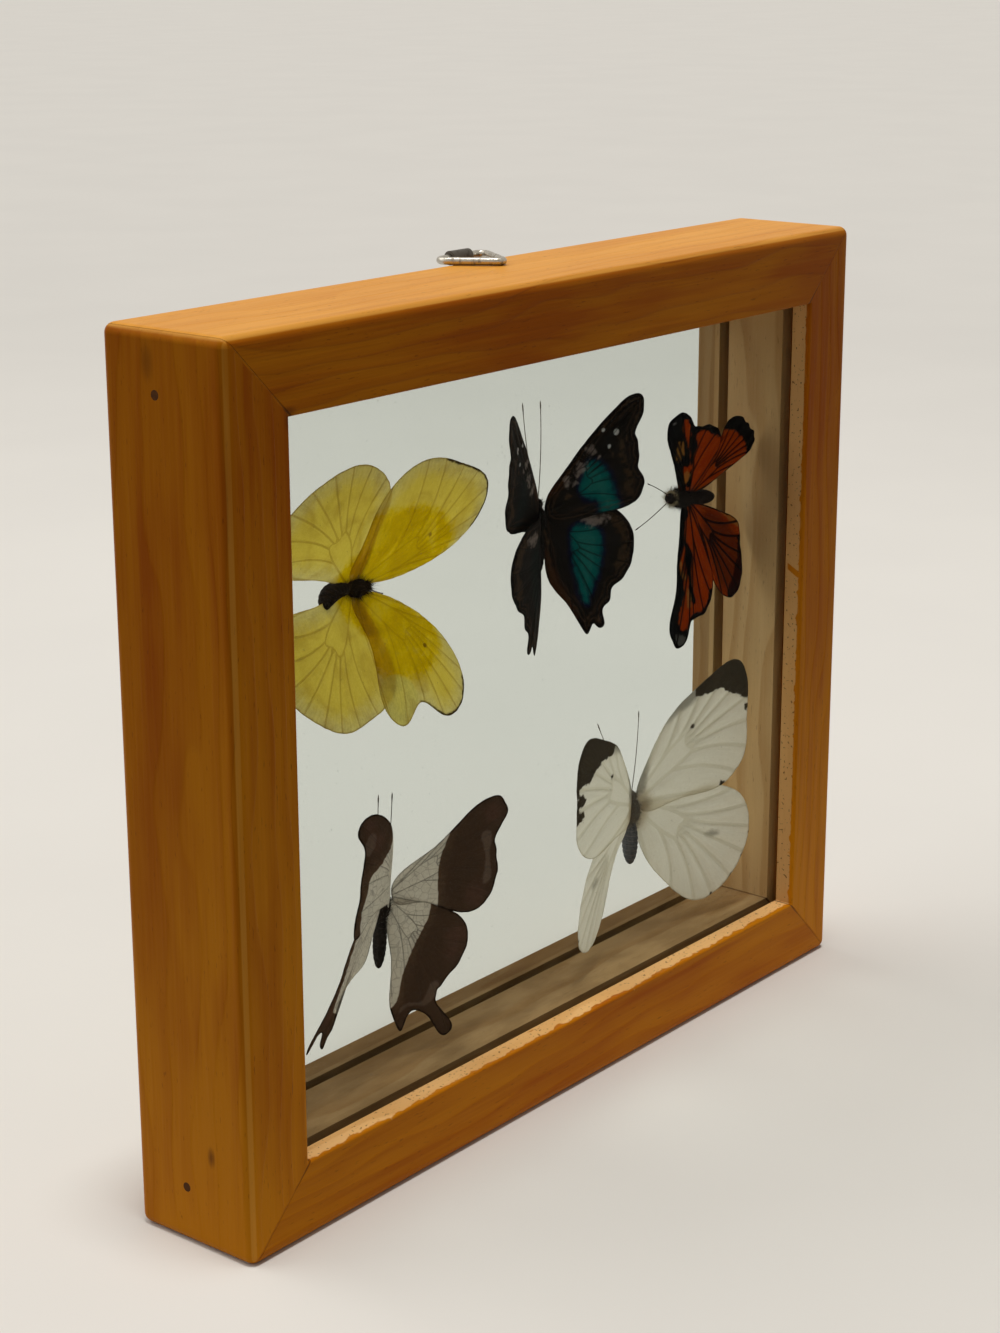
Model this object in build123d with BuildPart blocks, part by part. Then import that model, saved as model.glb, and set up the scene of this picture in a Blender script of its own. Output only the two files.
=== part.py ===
"""Butterfly display case: a mitred wooden frame, two panes, and five set butterflies between them.

Millimetres. +X runs to the right, +Y to the back and +Z up. The origin is the middle of the base.
"""

from build123d import *
from dataclasses import dataclass
from math import cos, radians, sin
import os

os.makedirs("parts", exist_ok=True)

# ---------------------------------------------------------------- driving dimensions
case_width = 203.0
case_height = 177.0
case_depth = 30.5
member_face = 16.0  # width of each wooden member, seen from the front
arris_radius = 2.0  # rounding along the outer edges
window_edge_radius = 0.5

front_lip = 4.6  # wood between the front face and the front groove
back_lip = 6.1
groove_width = 2.6
groove_depth = 4.0
glass_thickness = 2.0
glass_side_play = 0.5

brad_radius = 0.6
brad_head_radius = 0.95
brad_head_length = 0.8
brad_length = 25.0
brad_from_end = 11.7  # from the top or bottom face
brad_behind_front = 17.1

strap_width = 6.0
strap_thickness = 0.6
strap_drop = 12.4  # from the ring's axis down to the strap's lower end
wire_radius = 0.8
wire_running_gap = 0.08  # between the wire and the inside of the strap's curl
ring_above_top = 0.1
ring_base = 16.4  # before its corners are rounded
ring_height = 12.4
ring_corner_radius = 1.5
ring_apex_radius = 1.3
ring_end_gap = 0.4  # the wire's two ends meet inside the curl
curl_sweep = 285.0  # degrees that the strap turns round the wire

screw_drops = (4.6, 9.8)  # below the ring's axis
screw_radius = 0.9
screw_length = 9.0
screw_head_radius = 1.8
screw_head_height = 1.1
screw_recess_width = 0.5
screw_recess_length = 2.0
screw_recess_depth = 0.5

wing_thickness = 0.25
wing_root_forward = 1.4  # wing plane in front of the body's axis
hindwing_set_back = 0.4  # hindwings pass behind the forewings
body_radius = 1.7  # at the thorax
glue_thickness = 0.5
glue_radius = 1.3
antenna_radius = 0.14
antenna_club_radius = 0.35
antenna_club_length = 0.9
antenna_spread = 0.5  # from the body's axis, at the front of the head
antenna_gap = 0.1
antenna_rise = 1.5  # tips stand this far in front of the body's axis

# ---------------------------------------------------------------- worked-out sizes
half_width = case_width / 2
half_depth = case_depth / 2
window_width = case_width - 2 * member_face
window_height = case_height - 2 * member_face
middle_height = case_height / 2
front_groove_y = -half_depth + front_lip + groove_width / 2
back_groove_y = half_depth - back_lip - groove_width / 2
groove_floor_z = member_face - groove_depth
pane_width = window_width + 2 * (groove_depth - glass_side_play)
pane_height = window_height + 2 * (groove_depth - glass_side_play)
brad_y = -half_depth + brad_behind_front
back_pane_inner_y = back_groove_y - glass_thickness / 2
body_axis_y = back_pane_inner_y - glue_thickness - body_radius
wing_root_y = body_axis_y - wing_root_forward

curl_inner_radius = wire_radius + wire_running_gap
curl_outer_radius = curl_inner_radius + strap_thickness
ring_axis_y = half_depth + curl_outer_radius
ring_axis_z = case_height + ring_above_top + wire_radius


# ---------------------------------------------------------------- the wooden frame
def member(name, wedge):
    """One mitred, twice grooved side of the frame, cut from the whole frame by its wedge."""
    with BuildPart() as piece:
        with Locations((0, 0, middle_height)):
            Box(case_width, case_depth, case_height)
        fillet(piece.edges(), radius=arris_radius)
        with Locations((0, 0, middle_height)):
            Box(window_width, case_depth, window_height, mode=Mode.SUBTRACT)
        rims = piece.edges().filter_by(lambda edge: abs(abs(edge.center().Y) - half_depth) < 0.01)
        inner_rims = rims.filter_by(
            lambda edge: abs(edge.center().X) < half_width - member_face + 0.1
            and abs(edge.center().Z - middle_height) < middle_height - member_face + 0.1
        )
        fillet(inner_rims, radius=window_edge_radius)
        with Locations((0, front_groove_y, middle_height), (0, back_groove_y, middle_height)):
            Box(
                window_width + 2 * groove_depth,
                groove_width,
                window_height + 2 * groove_depth,
                mode=Mode.SUBTRACT,
            )
        with BuildSketch(Plane.XZ):
            with BuildLine():
                Polyline(*wedge, close=True)
            make_face()
        extrude(amount=case_depth, both=True, mode=Mode.INTERSECT)
        for side in (-1, 1):
            with BuildSketch(Plane.YZ.offset(side * half_width)):
                with Locations((brad_y, brad_from_end), (brad_y, case_height - brad_from_end)):
                    Circle(brad_radius)
            extrude(amount=-side * brad_length, mode=Mode.SUBTRACT)
            with BuildSketch(Plane.YZ.offset(side * half_width)):
                with Locations((brad_y, brad_from_end), (brad_y, case_height - brad_from_end)):
                    Circle(brad_head_radius)
            extrude(amount=-side * brad_head_length, mode=Mode.SUBTRACT)
        for drop in screw_drops:
            with BuildSketch(Plane.XZ.offset(-half_depth)):
                with Locations((0, ring_axis_z - drop)):
                    Circle(screw_radius)
            extrude(amount=screw_length, mode=Mode.SUBTRACT)
    piece.part.label = name
    export_step(piece.part, f"parts/{name}.step")


left, right, top = -half_width, half_width, case_height
in_left, in_right = left + member_face, right - member_face
in_low, in_high = member_face, top - member_face
member("top_rail", [(left, top), (right, top), (in_right, in_high), (in_left, in_high)])
member("bottom_rail", [(left, 0), (in_left, in_low), (in_right, in_low), (right, 0)])
member("left_stile", [(left, 0), (left, top), (in_left, in_high), (in_left, in_low)])
member("right_stile", [(right, 0), (in_right, in_low), (in_right, in_high), (right, top)])

# ---------------------------------------------------------------- the panes
for name, groove_y in (("front_pane", front_groove_y), ("back_pane", back_groove_y)):
    with BuildPart() as pane:
        with Locations((0, groove_y, groove_floor_z + pane_height / 2)):
            Box(pane_width, glass_thickness, pane_height)
    pane.part.label = name
    export_step(pane.part, f"parts/{name}.step")

# ---------------------------------------------------------------- brads, one in each corner
with BuildPart() as brads:
    for side in (-1, 1):
        for height in (brad_from_end, case_height - brad_from_end):
            with BuildSketch(Plane.YZ.offset(side * (half_width - brad_head_length))):
                with Locations((brad_y, height)):
                    Circle(brad_radius)
            extrude(amount=-side * (brad_length - brad_head_length))
            with BuildSketch(Plane.YZ.offset(side * half_width)):
                with Locations((brad_y, height)):
                    Circle(brad_head_radius)
            extrude(amount=-side * brad_head_length)
brads.part.label = "corner_brads"
export_step(brads.part, "parts/corner_brads.step")

# ---------------------------------------------------------------- the hanger
# The strap's section, seen along X: a straight leg on the back face, then a curl round the wire.
with BuildPart() as strap:
    with BuildSketch(Plane.YZ):
        with BuildLine():
            curl_start = (half_depth, ring_axis_z)
            curl_path = CenterArc((ring_axis_y, ring_axis_z), curl_outer_radius, 180, -curl_sweep)
            inner_path = CenterArc((ring_axis_y, ring_axis_z), curl_inner_radius, 180, -curl_sweep)
            Line(curl_path @ 1, inner_path @ 1)
            leg_low = ring_axis_z - strap_drop
            Polyline(
                curl_start,
                (half_depth, leg_low),
                (half_depth + strap_thickness, leg_low),
                (half_depth + strap_thickness, ring_axis_z),
            )
        make_face()
    extrude(amount=strap_width / 2, both=True)
    low_corners = strap.edges().filter_by(Axis.Y).group_by(Axis.Z)[0]
    fillet(low_corners, radius=strap_width / 2 - 0.2)
    for drop in screw_drops:
        with BuildSketch(Plane.XZ.offset(-half_depth)):
            with Locations((0, ring_axis_z - drop)):
                Circle(screw_radius)
        extrude(amount=-strap_thickness, mode=Mode.SUBTRACT)
strap.part.label = "hanger_strap"
export_step(strap.part, "parts/hanger_strap.step")

with BuildPart() as ring:
    with BuildLine():
        ring_path = FilletPolyline(
            (ring_end_gap / 2, ring_axis_y, ring_axis_z),
            (ring_base / 2, ring_axis_y, ring_axis_z),
            (0, ring_axis_y - ring_height, ring_axis_z),
            (-ring_base / 2, ring_axis_y, ring_axis_z),
            (-ring_end_gap / 2, ring_axis_y, ring_axis_z),
            radius=[ring_corner_radius, ring_apex_radius, ring_corner_radius],
        )
    with BuildSketch(Plane(origin=ring_path @ 0, z_dir=ring_path % 0)):
        Circle(wire_radius)
    sweep()
ring.part.label = "hanger_ring"
export_step(ring.part, "parts/hanger_ring.step")

with BuildPart() as screws:
    for drop in screw_drops:
        head_plane = Plane.XZ.offset(-half_depth - strap_thickness)
        with BuildSketch(head_plane):
            with Locations((0, ring_axis_z - drop)):
                Circle(screw_radius)
        extrude(amount=screw_length + strap_thickness)
        with BuildSketch(head_plane):
            with Locations((0, ring_axis_z - drop)):
                Circle(screw_head_radius)
        extrude(amount=-screw_head_height)
    domes = screws.edges().filter_by(GeomType.CIRCLE).group_by(Axis.Y)[-1]
    fillet(domes, radius=screw_head_height * 0.8)
    for drop in screw_drops:
        recess_plane = Plane.XZ.offset(-half_depth - strap_thickness - screw_head_height)
        with BuildSketch(recess_plane):
            with Locations((0, ring_axis_z - drop)):
                Rectangle(screw_recess_length, screw_recess_width)
                Rectangle(screw_recess_width, screw_recess_length)
        extrude(amount=screw_recess_depth, mode=Mode.SUBTRACT)
screws.part.label = "hanger_screws"
export_step(screws.part, "parts/hanger_screws.step")


# ---------------------------------------------------------------- the butterflies
@dataclass
class Butterfly:
    """Where a butterfly sits and how its body lies."""

    name: str
    root_x: float  # wing roots
    root_z: float
    lean: float  # degrees from head-up, clockwise seen from the front
    nose_ahead: float  # from the wing roots to the front of the head
    body_length: float
    antenna_tips: tuple  # (x, z) of each tip

    def along(self):
        """Direction from the tail to the head."""
        return Vector(sin(radians(self.lean)), 0, cos(radians(self.lean)))

    def across(self):
        """Direction at right angles to the body, in the plane of the case."""
        return Vector(cos(radians(self.lean)), 0, -sin(radians(self.lean)))

    def nose(self):
        """Front of the head, on the body's axis."""
        return Vector(self.root_x, body_axis_y, self.root_z) + self.along() * self.nose_ahead


# Head, thorax and abdomen as ellipses: middle and half length as shares of the body's length,
# radius as a share of body_radius.
body_segments = [(0.07, 0.07, 0.60), (0.27, 0.18, 1.0), (0.68, 0.32, 0.74)]


def turned(start, direction, ellipses, rod_length=0.0, rod_radius=0.0):
    """Ellipses (middle, half length, radius), and a thin rod, turned about an axis from start."""
    widest = max(radius for middle, half_length, radius in ellipses)
    reach = max(middle + half_length for middle, half_length, radius in ellipses)
    with BuildPart() as solid:
        # Local X runs along the axis, local Y is the radius.
        with BuildSketch(Plane(origin=start, x_dir=direction, z_dir=direction.cross(Vector(0, 1, 0)))):
            for middle, half_length, radius in ellipses:
                with Locations((middle, 0)):
                    Ellipse(half_length, radius)
            if rod_length:
                with Locations((rod_length / 2, 0)):
                    Rectangle(rod_length, 2 * rod_radius)
            with Locations((reach / 2, -widest)):
                Rectangle(2 * reach, 2 * widest, mode=Mode.SUBTRACT)
        revolve(axis=Axis(start, direction))
    return solid.part


def make_body(fly):
    """Head, thorax and abdomen, turned about the body's axis."""
    length = fly.body_length
    with BuildPart() as body:
        ellipses = [
            (middle * length, half_length * length, radius * body_radius)
            for middle, half_length, radius in body_segments
        ]
        add(turned(fly.nose(), -fly.along(), ellipses))
    body.part.label = f"{fly.name}_body"
    export_step(body.part, f"parts/{fly.name}_body.step")
    return body


def make_antennae(fly):
    """Two straight feelers with small clubs, which spring from the front of the head."""
    with BuildPart() as antennae:
        for side, (tip_x, tip_z) in zip((-1, 1), fly.antenna_tips):
            tip = Vector(tip_x, body_axis_y - antenna_rise, tip_z)
            reach = tip - (fly.nose() + fly.across() * (side * antenna_spread))
            direction = reach.normalized()
            root = tip - direction * (reach.length - antenna_gap)
            length = (tip - root).length
            club = (length - antenna_club_length, antenna_club_length, antenna_club_radius)
            add(turned(root, direction, [club], length - antenna_club_length, antenna_radius))
    antennae.part.label = f"{fly.name}_antennae"
    export_step(antennae.part, f"parts/{fly.name}_antennae.step")


def make_wing(fly, body, name, outline, side, dihedral, sweep=0.0):
    """A flat wing. Its outline is in (span, towards the head) from the wing root.

    side is 1 or -1 along fly.across(), dihedral is the rise towards the front pane in degrees,
    and sweep turns the wing forward in its own plane.
    """
    rise = radians(dihedral)
    turn = radians(sweep)
    level_span = fly.across() * (side * cos(rise)) - Vector(0, 1, 0) * sin(rise)
    span = level_span * cos(turn) + fly.along() * sin(turn)
    fore = fly.along() * cos(turn) - level_span * sin(turn)
    normal = span.cross(fore)
    origin = Vector(fly.root_x, wing_root_y, fly.root_z)
    if name.endswith("hindwing"):
        origin += Vector(0, 1, 0) * hindwing_set_back
    with BuildPart() as wing:
        with BuildSketch(Plane(origin=origin, x_dir=span, z_dir=normal)):
            with BuildLine():
                Spline(*outline, periodic=True)
            make_face()
        extrude(amount=wing_thickness / 2, both=True)
        add(body.part, mode=Mode.SUBTRACT)
    wing.part.label = f"{fly.name}_{name}"
    export_step(wing.part, f"parts/{fly.name}_{name}.step")


turquoise_forewing = [
    (1.2, 0.8), (4.9, 8.0), (11.7, 15.7), (20.7, 23.0), (24.0, 24.2), (25.5, 21.4),
    (23.7, 13.5), (25.8, 5.0), (23.1, 0.1), (12.0, -1.6), (2.0, -1.2),
]
turquoise_hindwing = [
    (1.2, -0.4), (10.8, -1.5), (18.0, -1.2), (22.6, -5.6), (23.0, -12.1), (19.9, -17.8),
    (16.0, -23.8), (15.2, -26.8), (11.5, -27.6), (7.4, -21.8), (2.6, -15.0), (1.2, -8.0),
]
yellow_upper_forewing = [
    (1.2, 0.8), (0.6, 6.5), (3.2, 20.3), (7.5, 28.0), (15.0, 32.4), (21.6, 30.8),
    (26.2, 21.2), (28.0, 9.0), (25.8, 4.1), (18.0, 3.0), (9.0, 1.6), (2.0, -0.5),
]
yellow_lower_forewing = [
    (1.2, 0.8), (1.4, 6.0), (5.8, 16.0), (14.1, 24.5), (22.9, 26.1), (27.2, 23.0), (28.1, 18.1),
    (24.6, 12.4), (28.6, 5.6), (26.6, 2.3), (18.0, 1.6), (9.0, 1.0), (2.0, -0.5),
]
yellow_hindwing = [
    (1.7, 0.2), (12.0, 2.2), (21.0, 2.0), (26.0, -3.0), (27.9, -10.0), (25.2, -17.2),
    (19.0, -24.5), (11.0, -27.4), (4.8, -22.0), (2.6, -10.0),
]
orange_upper_forewing = [
    (1.2, 1.2), (6.8, 9.3), (12.7, 15.4), (17.6, 19.8), (20.2, 20.4), (22.2, 18.0),
    (21.2, 13.2), (18.9, 9.2), (19.2, 5.6), (16.8, -1.7), (13.5, -3.7), (7.5, -3.2), (2.0, -1.2),
]
orange_lower_forewing = [
    (1.2, 1.2), (7.9, 4.8), (14.5, 6.9), (22.2, 9.2), (31.0, 13.1), (33.7, 11.4),
    (32.0, 6.6), (28.1, 3.8), (27.4, 0.4), (22.4, -5.8), (18.0, -6.8), (8.0, -3.8), (2.0, -1.2),
]
orange_upper_hindwing = [
    (1.6, -0.6), (8.0, -2.6), (14.5, -3.4), (20.3, -3.6), (21.2, -6.6), (18.6, -13.4),
    (15.4, -17.8), (12.8, -18.4), (9.4, -15.6), (4.9, -9.6), (1.6, -4.0),
]
orange_lower_hindwing = [
    (1.6, -0.6), (9.0, -4.2), (18.0, -6.8), (22.9, -10.6), (23.8, -14.6), (18.0, -19.8),
    (10.3, -20.6), (6.9, -20.8), (4.0, -15.6), (1.6, -6.0),
]
white_forewing = [
    (1.2, 0.8), (3.6, 8.2), (11.2, 19.1), (22.2, 26.3), (31.6, 28.9), (34.3, 24.6),
    (34.6, 15.0), (33.8, 5.2), (27.3, -0.8), (13.0, -2.0), (2.0, -1.6),
]
white_right_hindwing = [
    (1.6, -0.8), (12.9, -1.2), (21.6, 0.3), (27.9, -1.4), (33.8, -5.0), (36.4, -12.0),
    (34.3, -20.2), (24.8, -28.3), (20.6, -28.8), (12.1, -23.4), (5.7, -16.3), (1.6, -7.0),
]
white_left_hindwing = [
    (1.6, -0.8), (12.0, -2.4), (23.5, -3.3), (30.3, -7.0), (34.8, -15.4), (32.8, -23.0),
    (27.0, -25.8), (19.0, -21.6), (8.3, -8.2), (1.8, -3.8),
]
brown_forewing = [
    (1.2, 0.8), (9.7, 8.8), (18.7, 16.3), (23.3, 19.1), (26.6, 19.2), (28.3, 15.8), (26.0, 11.4),
    (26.5, 5.5), (26.1, -0.1), (22.1, -4.9), (14.6, -4.2), (7.5, -2.0), (2.0, -1.4),
]
brown_hindwing = [
    (1.7, -0.6), (6.6, -0.9), (12.4, -3.0), (19.9, -7.9), (20.6, -12.8), (15.9, -19.8), (13.6, -23.6),
    (18.2, -31.4), (16.9, -32.2), (12.1, -27.6), (7.4, -26.4), (5.6, -29.9), (3.8, -27.2),
    (2.6, -24.0), (2.4, -14.0),
]

turquoise = Butterfly("turquoise", 10.0, 123.3, 0, 3.6, 17.0, ((4.0, 148.3), (10.0, 147.9)))
yellow = Butterfly("yellow", -49.8, 119.6, 96, 5.0, 15.0, ((-40.9, 120.6), (-40.6, 116.6)))
orange = Butterfly("orange", 64.6, 117.4, -82, 6.6, 18.0, ((44.6, 113.6), (49.0, 123.4)))
white = Butterfly("white", 44.8, 49.0, 0, 3.0, 18.0, ((31.0, 71.7), (46.8, 70.8)))
brown = Butterfly("brown", -41.2, 52.4, 6, 3.4, 19.0, ((-43.0, 75.0), (-38.8, 74.4)))

# Each wing: name, outline, side, dihedral and sweep in degrees.
settings = {
    turquoise.name: (turquoise, [
        ("right_forewing", turquoise_forewing, 1, 24, 0),
        ("left_forewing", turquoise_forewing, -1, 24, 0),
        ("right_hindwing", turquoise_hindwing, 1, 24, 0),
        ("left_hindwing", turquoise_hindwing, -1, 24, 0),
    ]),
    yellow.name: (yellow, [
        ("upper_forewing", yellow_upper_forewing, -1, 21, 0),
        ("lower_forewing", yellow_lower_forewing, 1, 22, 0),
        ("upper_hindwing", yellow_hindwing, -1, 21, 0),
        ("lower_hindwing", yellow_hindwing, 1, 22, 0),
    ]),
    orange.name: (orange, [
        ("upper_forewing", orange_upper_forewing, 1, 22, 0),
        ("lower_forewing", orange_lower_forewing, -1, 15, 0),
        ("upper_hindwing", orange_upper_hindwing, 1, 22, 0),
        ("lower_hindwing", orange_lower_hindwing, -1, 15, 0),
    ]),
    white.name: (white, [
        ("right_forewing", white_forewing, 1, 15, 0),
        ("left_forewing", white_forewing, -1, 17, -6),
        ("right_hindwing", white_right_hindwing, 1, 15, 0),
        ("left_hindwing", white_left_hindwing, -1, 17, 0),
    ]),
    brown.name: (brown, [
        ("right_forewing", brown_forewing, 1, 20, 0),
        ("left_forewing", brown_forewing, -1, 22, 7),
        ("right_hindwing", brown_hindwing, 1, 20, 0),
        ("left_hindwing", brown_hindwing, -1, 20, 6),
    ]),
}

for fly, wings in settings.values():
    fly_body = make_body(fly)
    make_antennae(fly)
    for wing_name, outline, side, dihedral, sweep_angle in wings:
        make_wing(fly, fly_body, wing_name, outline, side, dihedral, sweep_angle)

# ---------------------------------------------------------------- glue between bodies and back pane
with BuildPart() as glue:
    for fly, wings in settings.values():
        chest = fly.nose() - fly.along() * (fly.body_length * 0.28)
        with BuildSketch(Plane.XZ.offset(-back_pane_inner_y)):
            with Locations((chest.X, chest.Z)):
                Circle(glue_radius)
        extrude(amount=glue_thickness)
glue.part.label = "glue_dots"
export_step(glue.part, "parts/glue_dots.step")
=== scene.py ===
"""Looks for a butterfly display case: a honey-stained pine frame, two panes and five set butterflies.

Every place here is written in millimetres and becomes metres in the mesh. +X runs to the right,
+Y to the back and +Z up, and the origin is the middle of the case's base.
"""

import logging
import math
from dataclasses import dataclass, field
from enum import Enum
from typing import Any, Optional, Sequence

import bpy
import numpy as np
from mathutils import Matrix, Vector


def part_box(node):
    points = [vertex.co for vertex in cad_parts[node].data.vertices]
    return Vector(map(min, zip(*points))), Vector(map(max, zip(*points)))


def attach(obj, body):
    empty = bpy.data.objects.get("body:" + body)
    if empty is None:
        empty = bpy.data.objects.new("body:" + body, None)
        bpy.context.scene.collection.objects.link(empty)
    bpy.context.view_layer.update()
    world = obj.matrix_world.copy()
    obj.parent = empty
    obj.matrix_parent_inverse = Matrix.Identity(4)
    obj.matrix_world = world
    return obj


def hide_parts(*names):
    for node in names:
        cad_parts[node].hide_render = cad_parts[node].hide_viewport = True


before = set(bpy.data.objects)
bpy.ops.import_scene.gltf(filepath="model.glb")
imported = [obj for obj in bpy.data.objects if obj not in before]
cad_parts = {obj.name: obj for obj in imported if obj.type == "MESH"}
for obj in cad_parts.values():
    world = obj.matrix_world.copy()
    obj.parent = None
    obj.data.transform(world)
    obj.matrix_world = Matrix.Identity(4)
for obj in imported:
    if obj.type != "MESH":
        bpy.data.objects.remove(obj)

MM = 0.001
LOG = logging.getLogger("display_case")
Point = tuple[float, float]
Place = tuple[float, float, float]
Colour = tuple[float, float, float]
Socket = bpy.types.NodeSocket
Solid = tuple[np.ndarray, list]  # vertices, and the vertex numbers of each face
BLACK = (0.0, 0.0, 0.0)
BODY_RINGS = 15.0  # how many rings a butterfly's body would have from head to tail


def srgb(red: int, green: int, blue: int) -> Colour:
    """A colour read off a surface, 0 to 255, as linear light.

    Formula: c/12.92 below 0.04045, else ((c + 0.055) / 1.055) ** 2.4.

    Args:
        red: red, 0 to 255.
        green: green, 0 to 255.
        blue: blue, 0 to 255.

    Returns:
        The linear colour.
    """
    shares = np.array([red, green, blue]) / 255.0
    low, high = shares / 12.92, ((shares + 0.055) / 1.055) ** 2.4
    return tuple(float(c) for c in np.where(shares < 0.04045, low, high))


# ---------------------------------------------------------------- materials, node by node
class Nodes:
    """A node tree, built up socket by socket."""

    def __init__(self, tree: bpy.types.NodeTree) -> None:
        """Starts with an empty tree.

        Args:
            tree: the tree, whose nodes are cleared.
        """
        self.tree = tree
        self.tree.nodes.clear()

    def put(self, socket: Socket, value: Any) -> None:
        """Links a socket to another, or sets its own value.

        Args:
            socket: the input.
            value: an output socket, a number, a vector or a colour.
        """
        if isinstance(value, bpy.types.NodeSocket):
            self.tree.links.new(value, socket)
        elif socket.type == "RGBA" and not isinstance(value, (int, float)):
            socket.default_value = (*value[:3], 1.0)
        else:
            socket.default_value = value

    def node(self, kind: str, inputs: dict[Any, Any], **settings: Any) -> bpy.types.Node:
        """Adds one node.

        Args:
            kind: the node's Blender type, without "ShaderNode".
            inputs: values or sockets by input name or number.
            settings: the node's own settings.

        Returns:
            The node.
        """
        made = self.tree.nodes.new("ShaderNode" + kind)
        for key, value in settings.items():
            setattr(made, key, value)
        for key, value in inputs.items():
            self.put(made.inputs[key], value)
        return made

    def math(self, operation: str, first: Any, second: Any = 0.0, third: Any = 0.0) -> Socket:
        """One step of arithmetic on numbers."""
        return self.node("Math", {0: first, 1: second, 2: third}, operation=operation).outputs[0]

    def plus(self, first: Any, second: Any) -> Socket:
        """The sum of two numbers."""
        return self.math("ADD", first, second)

    def minus(self, first: Any, second: Any) -> Socket:
        """The first number less the second."""
        return self.math("SUBTRACT", first, second)

    def times(self, first: Any, second: Any) -> Socket:
        """The product of two numbers."""
        return self.math("MULTIPLY", first, second)

    def larger(self, first: Any, second: Any) -> Socket:
        """The larger of two numbers."""
        return self.math("MAXIMUM", first, second)

    def smaller(self, first: Any, second: Any) -> Socket:
        """The smaller of two numbers."""
        return self.math("MINIMUM", first, second)

    def size(self, value: Any) -> Socket:
        """A number without its sign."""
        return self.math("ABSOLUTE", value)

    def vector(self, operation: str, first: Any, second: Any) -> Socket:
        """One step of arithmetic on vectors."""
        return self.node("VectorMath", {0: first, 1: second}, operation=operation).outputs[0]

    def length(self, vector: Socket) -> Socket:
        """The length of a vector."""
        return self.node("VectorMath", {0: vector}, operation="LENGTH").outputs["Value"]

    def millimetres(self) -> Socket:
        """The place on the piece, in millimetres."""
        place = self.node("TexCoord", {}).outputs["Object"]
        return self.node("VectorMath", {0: place, "Scale": 1 / MM}, operation="SCALE").outputs[0]

    def split(self, vector: Socket) -> tuple[Socket, Socket, Socket]:
        """The three parts of a vector."""
        parts = self.node("SeparateXYZ", {0: vector}).outputs
        return parts[0], parts[1], parts[2]

    def join(self, x: Any, y: Any, z: Any) -> Socket:
        """A vector from its three parts."""
        return self.node("CombineXYZ", {0: x, 1: y, 2: z}).outputs[0]

    def noise(self, place: Socket, scale: float, detail: float = 2.0, warp: float = 0.0) -> Socket:
        """Soft noise from 0 to 1.

        Args:
            place: where it is read.
            scale: blobs per unit of place.
            detail: how many finer layers it has.
            warp: how far it is distorted.

        Returns:
            The noise.
        """
        inputs = {"Vector": place, "Scale": scale, "Detail": detail, "Distortion": warp}
        return self.node("TexNoise", inputs).outputs["Fac"]

    def step(self, value: Any, low: float, high: float, start: float = 0.0, end: float = 1.0) -> Socket:
        """A smooth step from start, where value is low, to end, where it is high."""
        inputs = {"Value": value, "From Min": low, "From Max": high, "To Min": start, "To Max": end}
        return self.node("MapRange", inputs, interpolation_type="SMOOTHSTEP").outputs[0]

    def blend(self, share: Any, first: Any, second: Any, mode: str = "MIX") -> Socket:
        """Colours mixed by share: none of the second at 0, all of it at 1."""
        inputs = {0: share, 6: first, 7: second}
        made = self.node("Mix", inputs, data_type="RGBA", blend_type=mode, clamp_factor=True)
        return made.outputs[2]

    def attribute(self, name: str, output: str = "Fac") -> Socket:
        """A value that the mesh carries."""
        return self.node("Attribute", {}, attribute_name=name).outputs[output]

    def bump(self, height: Socket, depth: float) -> Socket:
        """A normal from a height, whose full range stands for depth in millimetres."""
        return self.node("Bump", {"Height": height, "Distance": depth * MM, "Strength": 1.0}).outputs[0]

    def principled(self, **inputs: Any) -> bpy.types.Node:
        """A Principled shader. Underscores in names stand for spaces."""
        return self.node("BsdfPrincipled", {k.replace("_", " "): v for k, v in inputs.items()})

    def mix(self, share: Any, first: bpy.types.Node, second: bpy.types.Node) -> bpy.types.Node:
        """Two shaders mixed by share."""
        return self.node("MixShader", {0: share, 1: first.outputs[0], 2: second.outputs[0]})


class Recipe(Nodes):
    """A node-based material."""

    def __init__(self, name: str) -> None:
        """Starts an empty material.

        Args:
            name: the material's name.
        """
        self.material = bpy.data.materials.new(name)
        self.material.use_nodes = True
        super().__init__(self.material.node_tree)
        self.output = self.tree.nodes.new("ShaderNodeOutputMaterial")

    def done(self, shader: bpy.types.Node) -> bpy.types.Material:
        """Sends the shader to the surface and returns the material."""
        self.tree.links.new(shader.outputs[0], self.output.inputs["Surface"])
        return self.material


class Grain(Enum):
    """Which way a member's grain runs."""

    ALONG_X = "x"
    ALONG_Z = "z"


@dataclass(frozen=True)
class Mark:
    """A small dark mark in the wood: a knot or a smudge of stain."""

    place: Place
    radius: float
    darkness: float = 0.8


@dataclass(frozen=True)
class CaseSize:
    """The case's sizes, in millimetres."""

    half_width: float
    half_height: float
    half_depth: float
    face: float = 16.0  # width of a member

    @classmethod
    def from_frame(cls) -> "CaseSize":
        """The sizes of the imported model."""
        _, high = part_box("top_rail")
        return cls(high.x / MM, high.z / MM / 2, high.y / MM)


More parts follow.
